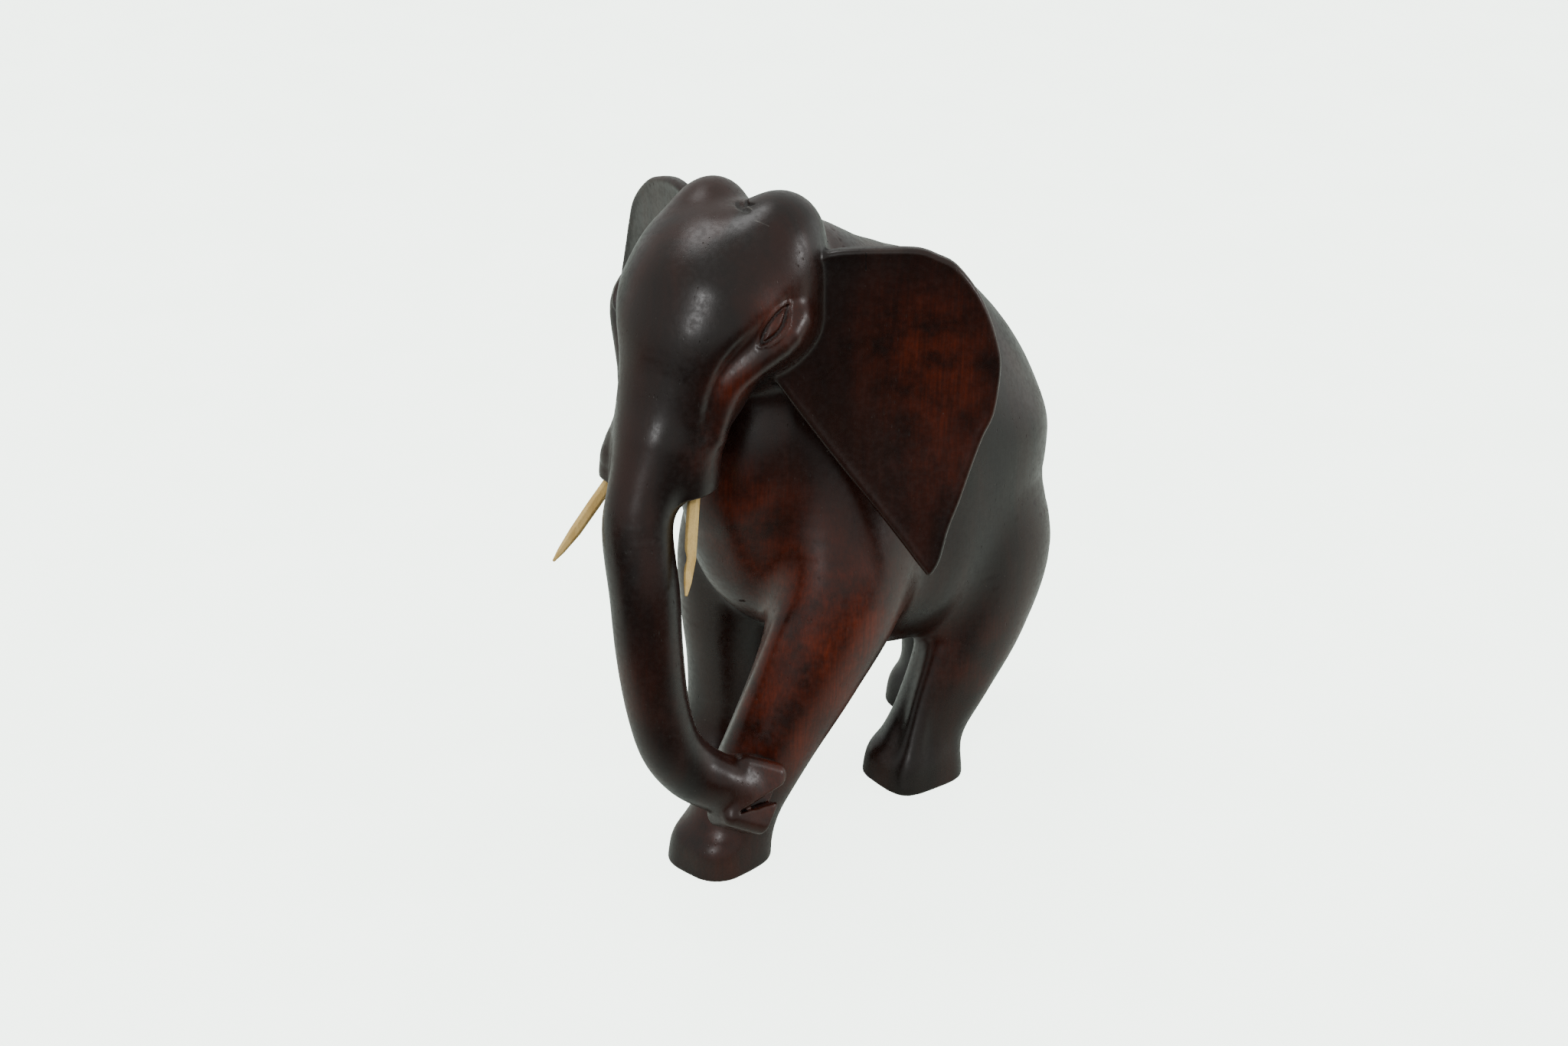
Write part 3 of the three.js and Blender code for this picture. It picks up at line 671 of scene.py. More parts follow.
@dataclass
class CarvedElephant:
    """The carving: body, turned head, ears, hanging trunk, tusk sheaths and four legs."""

    node: str = "carved_elephant"
    net_step: float = 2.05
    quick_step: float = 3.0
    low: tuple[float, float, float] = (-112.0, -165.0, -6.0)
    high: tuple[float, float, float] = (106.0, 140.0, 318.0)
    torso: Limb = Limb((
        (3, -48, 188, 33, 56), (1, -26, 180, 41, 82), (0, 5, 169.5, 50, 92.5),
        (0, 36, 156, 54, 87), (0, 65.5, 144, 49.5, 69), (0, 83, 138, 37.5, 46),
    ), 24)
    belly: tuple[tuple, ...] = ((2, 30, 121), (54, 60, 57))
    neck: Limb = Limb(((2, -10, 224.5, 36, 47.5), (6, -38, 247, 34, 42), (10, -60, 257, 31, 38)), 8)
    fore_left: Foot = Foot(Limb((
        (25, -4, 190, 20, 34), (34, -13, 156, 21, 36), (41, -28, 121, 25, 33), (42, -47, 88, 22.5, 26),
        (39, -64, 58, 20, 21), (36, -77, 34, 18.5, 19), (33.5, -85, 18, 18, 19), (33.5, -88, 10, 17, 18),
    ), 40), (33, -91), 8, 13)
    fore_right: Foot = Foot(Limb((
        (-24, -2, 187, 20, 34), (-29, -16, 152, 22, 35), (-31, -28, 118, 24, 31), (-32, -30, 88, 22, 27),
        (-33, -30, 58, 20, 22), (-34, -31, 34, 19, 19), (-34, -33, 18, 18, 19), (-34, -33, 10, 17, 18),
    ), 40), (-33, -34), 0, 13)
    hind_left: Foot = Foot(Limb((
        (22, 69, 165, 26, 38), (24, 66, 137, 25, 35), (32, 70, 108, 25, 37.5), (37, 62, 78, 22, 28),
        (36.5, 50, 52, 20, 21), (34.5, 39, 30, 17.5, 18), (34, 31, 18, 16.5, 17), (34, 29.5, 10, 16, 17),
    ), 40), (34, 28.5), -3, 12)
    hind_right: Foot = Foot(Limb((
        (-22, 70, 165, 26, 40), (-24, 78, 135, 26, 37), (-24, 86, 105, 23, 30), (-20.5, 91, 78, 20, 24),
        (-16, 91, 52, 18.5, 21), (-12, 88, 30, 18, 19), (-10, 85, 18, 17, 18), (-10, 84, 10, 17, 18),
    ), 40), (-10, 84), 0, 12)
    shins: tuple[Roll, ...] = (
        Roll(((42, -50, 134, 3), (42, -62.5, 109.5, 5.6), (38.8, -72.2, 82.6, 6), (35.2, -83.2, 54.4, 5.5))),
        Roll(((46.4, 12.6, 4, 4.5), (44.2, 17.2, 17, 5), (40.6, 26.8, 40, 5), (39.5, 36.5, 66, 4.5))),
    )
    notches: tuple[Roll, ...] = (
        Roll((
            (6, -62, 305.6, 0.7), (12, -69.5, 305.0, 1.3), (17, -72.6, 305.2, 1.5), (24, -74.5, 305.4, 0.8),
        )),
        Roll(((13, -66, 305.8, 0.6), (19, -70.5, 305.6, 1.1), (23, -70.0, 306.6, 0.5)), 8),
    )
    face: Limb = Limb(HEAD.keys((
        (-2, -20, 266, 36, 30), (-2, -27, 252, 34, 30), (-2.4, -33, 238, 29.5, 28),
        (-3, -40, 225, 25, 25), (-2.5, -45, 213, 22, 22), (-1, -48, 203, 19.5, 19),
    )), 22, HEAD.left)
    trunk: Limb = Limb((
        (23.5, -121, 210, 17, 17), (26.3, -130, 194, 15.4, 15.2), (29, -135.4, 177, 15.6, 15),
        (36, -137, 151, 15.2, 15), (39.2, -136.8, 125, 14.6, 14.5), (41.2, -134, 99, 13.7, 13.8),
        (44, -129, 78, 13.7, 13.6), (47.2, -120.2, 64, 14, 13.5), (52, -110, 55.5, 14.5, 13),
        (55, -103, 51, 13.5, 12),
    ), 64, (0.8, -0.2, 0.6))
    tip: TrunkTip = TrunkTip()
    crown: tuple[tuple, ...] = (
        ((-3.3, -8, 257), (45.7, 43, 28), 1.0), ((-2, -8, 276), (37, 31, 28), 14.0),
        ((17.5, 5, 288), (19, 24.5, 21.5), 11.0), ((-16, 6, 287.5), (17, 22, 21.5), 11.0),
        ((20, 2, 274), (20, 25, 25), 12.0), ((-22, 0, 270), (16, 24, 24), 12.0),
    )
    sheaths: tuple[Sheath, ...] = (
        Sheath((
            (5, -34, 236, 4, 4), (10, -42, 217, 8.5, 10), (12, -46, 204, 9, 12), (12.4, -47.6, 190, 9, 12.4),
        ), 192.5, 8),
        Sheath((
            (-15, -40, 238, 4, 4), (-17.5, -48, 217, 7, 8), (-20.5, -53, 204, 8.6, 10.5),
            (-21, -54, 190, 8.6, 11),
        ), 193, 6),
    )
    ears: tuple[Ear, ...] = (
        Ear(Side.LEFT, (41, 14, 288.5), (
            (-30, 6), (-12, 4), (-2, 1.5), (7, 0.4), (19, 0), (35, 0), (44, 3), (51.5, 7), (60, 17), (66, 28),
            (71, 42), (73, 54), (71.4, 74), (67, 86), (63, 99), (58.5, 115), (54, 129), (50.7, 144),
            (46.6, 151),
            (43, 148), (34, 136), (24, 123), (6.4, 101), (-11, 78), (-24.5, 59), (-38, 40), (-40, 20),
        )),
        Ear(Side.RIGHT, (-30.5, 17, 293.5), (
            (-30, 6), (-12, 1), (3.5, -3), (16, -3.5), (28, -1), (41, 4), (52, 12), (60, 21), (64.5, 32),
            (68.5, 45), (72.5, 60), (74.5, 74), (74, 90), (71, 106), (65, 123), (56, 140), (50, 151),
            (44, 152),
            (34, 136), (24, 123), (6.4, 101), (-11, 78), (-24.5, 59), (-38, 40), (-40, 20),
        )),
    )
    eyes: tuple[Eye, ...] = (Eye(Side.LEFT), Eye(Side.RIGHT))
    belly_seam: float = 14.0
    foot_seams: tuple[float, float, float, float] = (21.0, 13.0, 13.0, 13.0)
    shin_seam: float = 7.0
    neck_seam: float = 16.0
    head_seams: tuple[float, float] = (3.0, 10.0)
    head_seam_heights: tuple[float, float] = (100.0, 160.0)
    face_seam: float = 9.0
    socket_seam: float = 9.0
    cheek_seam: float = 7.0
    trunk_seam: float = 14.0
    notch_edge: float = 1.6
    ear_seam: float = 4.0
    sole_edge: float = 2.6
    settle_turns: int = 2
    coarse_reach: float = 0.3
    slope_reach: float = 0.2
    sharp_bend: float = 0.06
    mask_reach: float = 2.2
    mask_gain: float = 5.0
    eye_fine: float = 15.0
    fine_spots: tuple[tuple, ...] = (((68.0, -100.0, 50.0), 23.0), ((16.0, -69.0, 305.0), 14.0))
    socket: tuple[tuple[float, ...], ...] = (
        (42.5, -18, 270.6, 4), (41.5, -27, 265.1, 6), (38.4, -33.6, 260.8, 6.5), (34.2, -39.6, 254.8, 7),
        (30.5, -43.6, 246.6, 7.5), (27.2, -46, 238, 7), (25, -47.6, 229.7, 6), (24.5, -49.6, 221, 4),
    )
    cheek: tuple[tuple[float, ...], ...] = (
        (36, -10, 262, 8), (36, -18.5, 256.5, 7.5), (29.8, -29.5, 249, 6.5),
        (22.5, -38, 240.5, 6.5), (18.3, -41.2, 228.5, 6.5), (16, -42.5, 217, 7),
    )

    def paired(self, keys: Sequence[Sequence[float]]) -> tuple[Roll, ...]:
        """A roll given on the head's left, and its mirror on the right."""
        return tuple(Roll(HEAD.keys([(mirrored(k[0], s), *k[1:]) for k in keys])) for s in (1, -1))

    @cached_property
    def sockets(self) -> tuple[Roll, ...]:
        """Grooves from behind each eye, under it, and down between cheek and trunk root."""
        return self.paired(self.socket)

    @cached_property
    def cheeks(self) -> tuple[Roll, ...]:
        """Rolls of the cheek under each groove."""
        return self.paired(self.cheek)

    def head_distance(self, points: Points) -> Values:
        """Distance to crown, face, eye sockets, cheeks, trunk, sheaths and tip, joined in that order.

        Args:
            points: Rows of points in millimetres, in the body's axes.

        Returns:
            Signed distances.
        """
        h = HEAD.to_head(points)
        head = np.full(len(points), 1e3, REAL)
        for centre, radii, seam in self.crown:
            lobe = ellipsoid_distance(h - np.asarray(centre, REAL), np.asarray(radii, REAL))
            head = blend(head, lobe, seam)
        head = blend(head, self.face.distance(points), self.face_seam)
        for groove in self.sockets:
            head = carve(head, -groove.distance(points), self.socket_seam)
        for roll in self.cheeks:
            head = blend(head, roll.distance(points), self.cheek_seam)
        head = blend(head, self.trunk.distance(points), self.trunk_seam)
        for sheath in self.sheaths:
            head = blend(head, sheath.distance(points), sheath.seam)
        for groove in self.notches:
            head = carve(head, -groove.distance(points), self.notch_edge)
        return self.tip.shaped(points, head)

    def distance(self, points: Points) -> Values:
        """Distance to the whole carving with its relief.

        Args:
            points: Rows of points in millimetres, in the body's axes.

        Returns:
            Signed distances.
        """
        points = np.asarray(points, REAL)
        centre, radii = (np.asarray(v, REAL) for v in self.belly)
        belly = ellipsoid_distance(points - centre, radii)
        d = blend(self.torso.distance(points), belly, self.belly_seam)
        feet = (self.fore_left, self.fore_right, self.hind_left, self.hind_right)
        for foot, seam in zip(feet, self.foot_seams):
            d = blend(d, foot.distance(points), seam)
        for shin in self.shins:
            d = blend(d, shin.distance(points), self.shin_seam)
        d = blend(d, self.neck.distance(points), self.neck_seam)
        tight = np.interp(points[:, 2], self.head_seam_heights, self.head_seams).astype(REAL)
        d = blend(d, self.head_distance(points), tight)
        for eye in self.eyes:
            d = d - eye.relief(points)
        for ear in self.ears:
            d = blend(d, ear.distance(points), self.ear_seam)
        return carve(d, -points[:, 2], self.sole_edge).astype(REAL)

    def slope(self, points: Points, reach: float) -> np.ndarray:
        """Slope of the field: differences over a short reach along each axis.

        Args:
            points: Rows of points.
            reach: Half the length of each difference.

        Returns:
            Rows of slopes.
        """
        out = np.empty_like(points)
        for k in range(3):
            shift = np.zeros(3, REAL)
            shift[k] = reach
            ahead = in_batches(self.distance, points + shift)
            behind = in_batches(self.distance, points - shift)
            out[:, k] = (ahead - behind) / (2 * reach)
        return out

    def settled(self, points: Points) -> Points:
        """Moves points along the slope onto the surface, a Newton step at a time.

        Args:
            points: Rows of points near the surface.

        Returns:
            The points on it.
        """
        for _ in range(self.settle_turns):
            slope = self.slope(points, self.coarse_reach)
            steep = np.maximum((slope * slope).sum(1), 0.4)
            move = -(in_batches(self.distance, points) / steep)[:, None] * slope
            far = np.linalg.norm(move, axis=1, keepdims=True)
            points = (points + move * np.minimum(1, 1.2 / np.maximum(far, 1e-6))).astype(REAL)
        return points

    def build(self) -> bpy.types.Object:
        """Lays the net on the field, refines it where it bends sharply and makes the object.

        Returns:
            The carving's object, in the part's frame.
        """
        step = self.net_step
        points, quads = surface_net(self.distance, self.low, self.high, step)
        points = self.settled(points)
        LOG.info("net of %d points and %d faces", len(points), len(quads))
        normals = unit(self.slope(points, self.coarse_reach))
        mesh = bpy.data.meshes.new(self.node)
        mesh.from_pydata(points, [], quads.tolist())
        corners = normals[quads]
        across = [(corners[:, k] * corners[:, k + 2]).sum(1) for k in (0, 1)]
        fine = 1 - np.min(across, 0) > self.sharp_bend
        middles = points[quads].mean(1)
        for centre, radius in self.fine_places():
            fine |= np.linalg.norm(middles - centre, axis=1) < radius
        split_faces(mesh, fine)
        points = np.empty(len(mesh.vertices) * 3, REAL)
        mesh.vertices.foreach_get("co", points)
        points = self.settled(points.reshape(-1, 3))
        normals = unit(self.slope(points, self.slope_reach))
        place_points(mesh, points)
        mesh.normals_split_custom_set_from_vertices(normals.tolist())
        self.paint(mesh, points)
        return in_scene("elephant_carving", mesh)

    def fine_places(self) -> list[tuple[np.ndarray, float]]:
        """Centres and radii of the places whose relief needs smaller faces."""
        places = [(eye.axes[0], self.eye_fine) for eye in self.eyes]
        return places + [(np.array(centre), radius) for centre, radius in self.fine_spots]

    def paint(self, mesh: bpy.types.Mesh, points: Points) -> None:
        """Writes the masks that the wood's finish reads: ridges, hollows and red stain.

        A ridge or hollow is where the field's mean over a small ring differs from its value.

        Args:
            mesh: The mesh to write to.
            points: Its points in the body's axes.
        """
        reach = self.mask_reach
        around = np.zeros(len(points), REAL)
        for k in range(3):
            shift = np.zeros(3, REAL)
            shift[k] = reach
            around += in_batches(self.distance, points + shift)
            around += in_batches(self.distance, points - shift)
        bend = around / 6 / reach * self.mask_gain
        write_mask(mesh, "ridge", np.clip(bend, 0, 1))
        write_mask(mesh, "hollow", np.clip(-bend, 0, 1))
        stain = np.zeros(len(points), REAL)
        for centre, radius, depth in STAINS:
            stain += depth * bump(points, centre, radius)
        write_mask(mesh, "stain", np.clip(stain, 0, 1))


STAINS: tuple[tuple[tuple[float, float, float], float, float], ...] = (
    ((62, -5, 248), 26, 0.9), ((66, 8, 215), 24, 0.75), ((72, -4, 180), 20, 0.35),
    ((54, -46, 108), 34, 1.0), ((50, -72, 66), 24, 0.7), ((30, -66, 150), 26, 0.55),
    ((18, -80, 172), 20, 0.5),
    ((52, -78, 268), 12, 0.6), ((46, -98, 242), 11, 0.6), ((45, -104, 215), 14, 0.4),
    ((42, 52, 64), 26, 0.35), ((34, -140, 112), 20, 0.35), ((40, -98, 14), 16, 0.3),
    ((66, -92, 44), 12, 0.45),
)


# Meshes


def surface_net(
    shape: Distance, low: Sequence[float], high: Sequence[float], step: float,
) -> tuple[Points, np.ndarray]:
    """Lays a net of four-sided faces on the zero level of a field of distances.

    A coarse pass over blocks of cells finds those that the surface may cross; only their corners
    are then worked out.  Every cell that the surface crosses gets one point, at the mean of the
    crossings of its edges, and every crossed edge gets one face between its four cells.

    Args:
        shape: The field.
        low: Lowest corner of the space.
        high: Highest corner of the space.
        step: Size of a cell.

    Returns:
        The points and the faces as rows of four indices.
    """
    block = 4
    origin = np.asarray(low, float)
    blocks = np.ceil((np.asarray(high) - origin) / step / block).astype(int) + 1
    size = blocks * block + 1
    middles = [origin[k] + (np.arange(blocks[k]) * block + block / 2) * step for k in range(3)]
    coarse = np.stack(np.meshgrid(*middles, indexing="ij"), -1).reshape(-1, 3).astype(REAL)
    coarse = in_batches(shape, coarse).reshape(blocks)
    grid = np.ones(size, REAL)
    grid[:-1, :-1, :-1] = coarse.repeat(block, 0).repeat(block, 1).repeat(block, 2)
    marked = np.zeros(size, bool)
    found = np.argwhere(np.abs(coarse) < block * step * 1.2)
    offsets = np.stack(np.meshgrid(*[np.arange(block + 1)] * 3, indexing="ij"), -1).reshape(-1, 3)
    at = (found[:, None] * block + offsets[None]).reshape(-1, 3)
    marked[at[:, 0], at[:, 1], at[:, 2]] = True
    at = np.argwhere(marked)
    grid[marked] = in_batches(shape, (at * step + origin).astype(REAL))
    return net_faces(grid, origin, step)


def in_batches(shape: Distance, points: Points, batch: int = 12000) -> Values:
    """Works a field out over a long run of points, some batches side by side.

    Args:
        shape: The field.
        points: Rows of points.
        batch: How many points each call gets.

    Returns:
        The field's values in the order of the points.
    """
    parts = [points[k:k + batch] for k in range(0, len(points), batch)]
    with ThreadPoolExecutor(4) as pool:
        return np.concatenate(list(pool.map(shape, parts)))


def net_faces(grid: np.ndarray, origin: np.ndarray, step: float) -> tuple[Points, np.ndarray]:
    """Points and faces of the net over a grid of values.

    Args:
        grid: Values at the cells' corners.
        origin: Place of the grid's first corner.
        step: Size of a cell.

    Returns:
        The points and the faces as rows of four indices.
    """
    inside = grid < 0
    cells = np.array(grid.shape) - 1
    places, owners, faces = [], [], []
    for axis in range(3):
        u, v = (axis + 1) % 3, (axis + 2) % 3
        ahead = np.roll(inside, -1, axis)
        index = [slice(None)] * 3
        index[axis] = slice(0, -1)
        edges = np.argwhere((inside != ahead)[tuple(index)])
        kept = (edges[:, u] > 0) & (edges[:, v] > 0) & (edges[:, u] < cells[u]) & (edges[:, v] < cells[v])
        edges = edges[kept]
        ends = edges.copy()
        ends[:, axis] += 1
        first, last = grid[tuple(edges.T)], grid[tuple(ends.T)]
        place = edges.astype(float)
        place[:, axis] += first / (first - last)
        ring = []
        for du, dv in ((0, 0), (-1, 0), (-1, -1), (0, -1)):
            cell = edges.copy()
            cell[:, u] += du
            cell[:, v] += dv
            number = (cell[:, 0] * cells[1] + cell[:, 1]) * cells[2] + cell[:, 2]
            ring.append(number)
            places.append(place)
            owners.append(number)
        face = np.stack(ring, 1)
        outward = first < 0
        face[~outward] = face[~outward][:, ::-1]
        faces.append(face)
    place, owner, face = np.concatenate(places), np.concatenate(owners), np.concatenate(faces)
    names, where = np.unique(owner, return_inverse=True)
    uses = np.bincount(where).astype(float)
    points = np.stack([np.bincount(where, place[:, k]) / uses for k in range(3)], 1)
    return (points * step + origin).astype(REAL), np.searchsorted(names, face)


def split_faces(mesh: bpy.types.Mesh, chosen: np.ndarray) -> None:
    """Splits the chosen faces in four, and makes triangles of what that leaves with odd corners.

    Args:
        mesh: The mesh to split.
        chosen: One truth value for each face.
    """
    work = bmesh.new()
    work.from_mesh(mesh)
    work.faces.ensure_lookup_table()
    edges = {edge for n in np.flatnonzero(chosen) for edge in work.faces[int(n)].edges}
    bmesh.ops.subdivide_edges(work, edges=list(edges), cuts=1, use_grid_fill=True)
    odd = [face for face in work.faces if len(face.verts) > 4]
    bmesh.ops.triangulate(work, faces=odd)
    work.to_mesh(mesh)
    work.free()


def place_points(mesh: bpy.types.Mesh, points: Points) -> None:
    """Moves a mesh's points to the part's frame, in metres, and smooths its shading.

    Args:
        mesh: The mesh.
        points: Its points in millimetres, in the body's axes.
    """
    moved = (points + BODY_TO_PART) * MILLIMETRE
    mesh.vertices.foreach_set("co", moved.astype(REAL).ravel())
    mesh.polygons.foreach_set("use_smooth", np.ones(len(mesh.polygons), bool))
    mesh.update()


def in_scene(name: str, data: bpy.types.ID) -> bpy.types.Object:
    """Makes an object of a mesh, light or camera and adds it to the scene.

    Args:
        name: The object's name.
        data: What it shows.

    Returns:
        The object.
    """
    thing = bpy.data.objects.new(name, data)
    bpy.context.scene.collection.objects.link(thing)
    return thing


def write_mask(mesh: bpy.types.Mesh, name: str, values: Values) -> None:
    """Stores one number for each point under a name."""
    layer = mesh.attributes.new(name, "FLOAT", "POINT")
    layer.data.foreach_set("value", values.astype(REAL))


@dataclass
class WhittledTusk:
    """A pale stick whittled with a knife: long flats, a slight bend and a blunt point."""

    name: str
    node: str
    mouth: tuple[float, float, float]
    heading: tuple[float, float, float]
    length: float = 46.95
    diameter: float = 5.4
    socket: float = 11.0
    kink: float = 0.0
    kink_at: float = 0.66
    kink_side: float = 3.0
    kink_length: float = 3.0
    stations: tuple[float, ...] = (0.0, 0.36, 0.66, 0.88, 1.0)
    bends: tuple[float, ...] = (0.0, 0.0, 0.15, 0.5, 0.3, 0.1)
    sizes: tuple[float, ...] = (0.92, 0.98, 1.0, 0.94, 0.6, 0.2)
    flats: int = 6
    softness: float = 0.045
    around: int = 48
    rows: int = 120

    def build(self) -> bpy.types.Object:
        """Builds the stick as a profile carried along its way.

        The profile's radius is that of a polygon with softened corners.  Its size follows the
        stick's taper, and one knife cut may flatten a side.

        Returns:
            The tusk's object, in the part's frame.
        """
        way = unit(HEAD.turned(self.heading).astype(float))
        across = unit(np.cross([0, 0, 1], way))
        up = np.cross(way, across)
        reach = [-self.socket, *(share * self.length for share in self.stations)]
        t = np.linspace(0, 1, self.rows)[:, None]
        s = -self.socket + t * (self.length + self.socket)
        width, offset = np.interp(s, reach, self.sizes), np.interp(s, reach, self.bends)
        angle = np.linspace(0, 2 * np.pi, self.around, endpoint=False)[None]
        corner = 2 * np.pi / self.flats
        local = (angle + 1e-6) % corner - corner / 2
        flat = (1 - self.softness) * np.cos(corner / 2) / np.cos(local) + self.softness
        flat = flat / flat.max()
        cut = np.exp(-(((s - self.kink_at * self.length) / self.kink_length) ** 2))
        shaved = cut * np.maximum(np.cos(angle - self.kink_side), 0) ** 2
        radius = (self.diameter / 2 * width * flat * (1 - self.kink * shaved))[..., None]
        middle = np.asarray(HEAD.to_body(self.mouth), float)
        middle = middle + s[..., None] * way + offset[..., None] * across
        ring = radius * (np.cos(angle)[..., None] * across + np.sin(angle)[..., None] * up)
        points = np.vstack([(middle + ring).reshape(-1, 3), middle[0, 0], middle[-1, 0]])
        n, r = self.around, self.rows
        a = (np.arange(r - 1)[:, None] * n + np.arange(n)[None]).ravel()
        b = (np.arange(r - 1)[:, None] * n + (np.arange(n)[None] + 1) % n).ravel()
        sides = np.stack([a, b, b + n, a + n], 1)
        rim = np.arange(n)
        beside, top = (rim + 1) % n, n * (r - 1)
        first = np.stack([np.full(n, n * r), beside, rim], 1)
        last = np.stack([np.full(n, n * r + 1), top + rim, top + beside], 1)
        mesh = bpy.data.meshes.new(self.node)
        mesh.from_pydata(points, [], sides.tolist() + first.tolist() + last.tolist())
        place_points(mesh, points)
        return in_scene(self.name, mesh)


# Finishes


Socket = bpy.types.NodeSocket
Colour = tuple[float, float, float, float]


class Nodes:
    """Adds and links the nodes of one tree."""

    def __init__(self, tree: bpy.types.NodeTree) -> None:
        """Keeps the tree to work on."""
        self.tree = tree

    def add(self, kind: str, **values: object) -> bpy.types.Node:
        """Adds a node; names that match an input set its value, the others set the node's own.

        Args:
            kind: The node's type.
            **values: Values by socket name, with _ for a space, or by property name.

        Returns:
            The new node.
        """
        node = self.tree.nodes.new(kind)
        for name, value in values.items():
            label = name.replace("_", " ")
            if label in node.inputs:
                node.inputs[label].default_value = value
            else:
                setattr(node, name, value)
        return node

    def link(self, source: Socket, target: Socket) -> None:
        """Links one socket to another."""
        self.tree.links.new(source, target)

    def feed(self, sockets: Sequence[Socket], values: Sequence[object]) -> None:
        """Gives each input its value, by a link where that is a socket.

        Args:
            sockets: The inputs.
            values: A socket or a value for each.
        """
        for socket, value in zip(sockets, values):
            if isinstance(value, Socket):
                self.link(value, socket)
            else:
                socket.default_value = value

    def at(self, place: Socket, kind: str, **values: object) -> bpy.types.Node:
        """Adds a texture that is read at a place.

        Args:
            place: The coordinates.
            kind: The node's type.
            **values: Its values, as for add.

        Returns:
            The new node.
        """
        node = self.add(kind, **values)
        self.link(place, node.inputs["Vector"])
        return node

    def math(self, kind: str, a: object, b: object = 0.0, c: object = 0.0, clamp: bool = False) -> Socket:
        """Adds a Math node; each of a, b and c is a socket or a number.

        Args:
            kind: The operation.
            a: First value.
            b: Second value.
            c: Third value.
            clamp: Whether the result is held between 0 and 1.

        Returns:
            The node's output.
        """
        node = self.add("ShaderNodeMath", operation=kind, use_clamp=clamp)
        self.feed(node.inputs, (a, b, c))
        return node.outputs[0]

    def vector(self, kind: str, a: Socket, b: object = (0.0, 0.0, 0.0)) -> Socket:
        """Adds a Vector Math node.

        Args:
            kind: The operation.
            a: First vector.
            b: Second vector, as a socket or three numbers.

        Returns:
            The node's number for a dot product or length, else its vector.
        """
        node = self.add("ShaderNodeVectorMath", operation=kind)
        self.feed(node.inputs, (a, b))
        return node.outputs["Value" if kind in ("DOT_PRODUCT", "LENGTH") else "Vector"]

    def ramp(self, value: Socket, low: float, high: float) -> Socket:
        """Turns the span from low to high into 0 to 1 with soft ends."""
        node = self.add("ShaderNodeMapRange", interpolation_type="SMOOTHSTEP", From_Min=low, From_Max=high)
        self.link(value, node.inputs["Value"])
        return node.outputs["Result"]

    def mix(self, share: object, a: object, b: object) -> Socket:
        """Mixes two colours; each of share, a and b is a socket or a value."""
        node = self.add("ShaderNodeMix", data_type="RGBA")
        self.feed((node.inputs[0], node.inputs[6], node.inputs[7]), (share, a, b))
        return node.outputs[2]


@dataclass(frozen=True)
class ShaderGroup:
    """A shader node group that is made once and then used wherever its effect is wanted."""

    name: ClassVar[str]
    numbers: ClassVar[dict[str, float]] = {}
    vectors: ClassVar[tuple[str, ...]] = ("Place",)
    results: ClassVar[tuple[str, ...]]

    def tree(self) -> bpy.types.NodeTree:
        """Makes the group, or finds it if it is there.

        Returns:
            The group's tree.
        """
        if self.name in bpy.data.node_groups:
            return bpy.data.node_groups[self.name]
        tree = bpy.data.node_groups.new(self.name, "ShaderNodeTree")
        for label in self.vectors:
            tree.interface.new_socket(name=label, in_out="INPUT", socket_type="NodeSocketVector")
        for label, value in self.numbers.items():
            socket = tree.interface.new_socket(name=label, in_out="INPUT", socket_type="NodeSocketFloat")
            socket.default_value = value
        for label in self.results:
            tree.interface.new_socket(name=label, in_out="OUTPUT", socket_type="NodeSocketFloat")
        n = Nodes(tree)
        self.lay(n, n.add("NodeGroupInput").outputs, n.add("NodeGroupOutput").inputs)
        return tree

    def lay(self, n: Nodes, given: bpy.types.NodeOutputs, wanted: bpy.types.NodeInputs) -> None:
        """Lays the group's nodes between its inputs and its outputs."""
        raise NotImplementedError

    def use(self, n: Nodes, place: Socket, **values: object) -> bpy.types.Node:
        """Adds the group to a tree.

        Args:
            n: The tree's nodes.
            place: The object's coordinates.
            **values: Values of its inputs, with _ for a space.

        Returns:
            The group's node.
        """
        node = n.add("ShaderNodeGroup", node_tree=self.tree())
        n.link(place, node.inputs["Place"])
        for label, value in values.items():
            node.inputs[label.replace("_", " ")].default_value = value
        return node


@dataclass(frozen=True)
class WoodGrain(ShaderGroup):
    """Slow figure and fine fibres of a board, drawn out along one way of the wood."""

    name: ClassVar[str] = "wood_grain"
    numbers: ClassVar[dict[str, float]] = {"Figure Scale": 30.0, "Fibre Scale": 900.0}
    results: ClassVar[tuple[str, ...]] = ("Figure", "Fibre")
    figure_stretch: tuple[float, float, float] = (1, 1, 0.16)
    fibre_stretch: tuple[float, float, float] = (1, 1, 0.05)

    def lay(self, n: Nodes, given: bpy.types.NodeOutputs, wanted: bpy.types.NodeInputs) -> None:
        """Lays two noises, each drawn out along the vertical."""
        for label, stretch, values in (
            ("Figure", self.figure_stretch, {"Detail": 5.0, "Roughness": 0.6, "Distortion": 0.6}),
            ("Fibre", self.fibre_stretch, {"Detail": 2.0, "Roughness": 0.5}),
        ):
            place = n.vector("MULTIPLY", given["Place"], stretch)
            noise = n.at(place, "ShaderNodeTexNoise", **values)
            n.link(given[label + " Scale"], noise.inputs["Scale"])
            n.link(noise.outputs["Fac"], wanted[label])


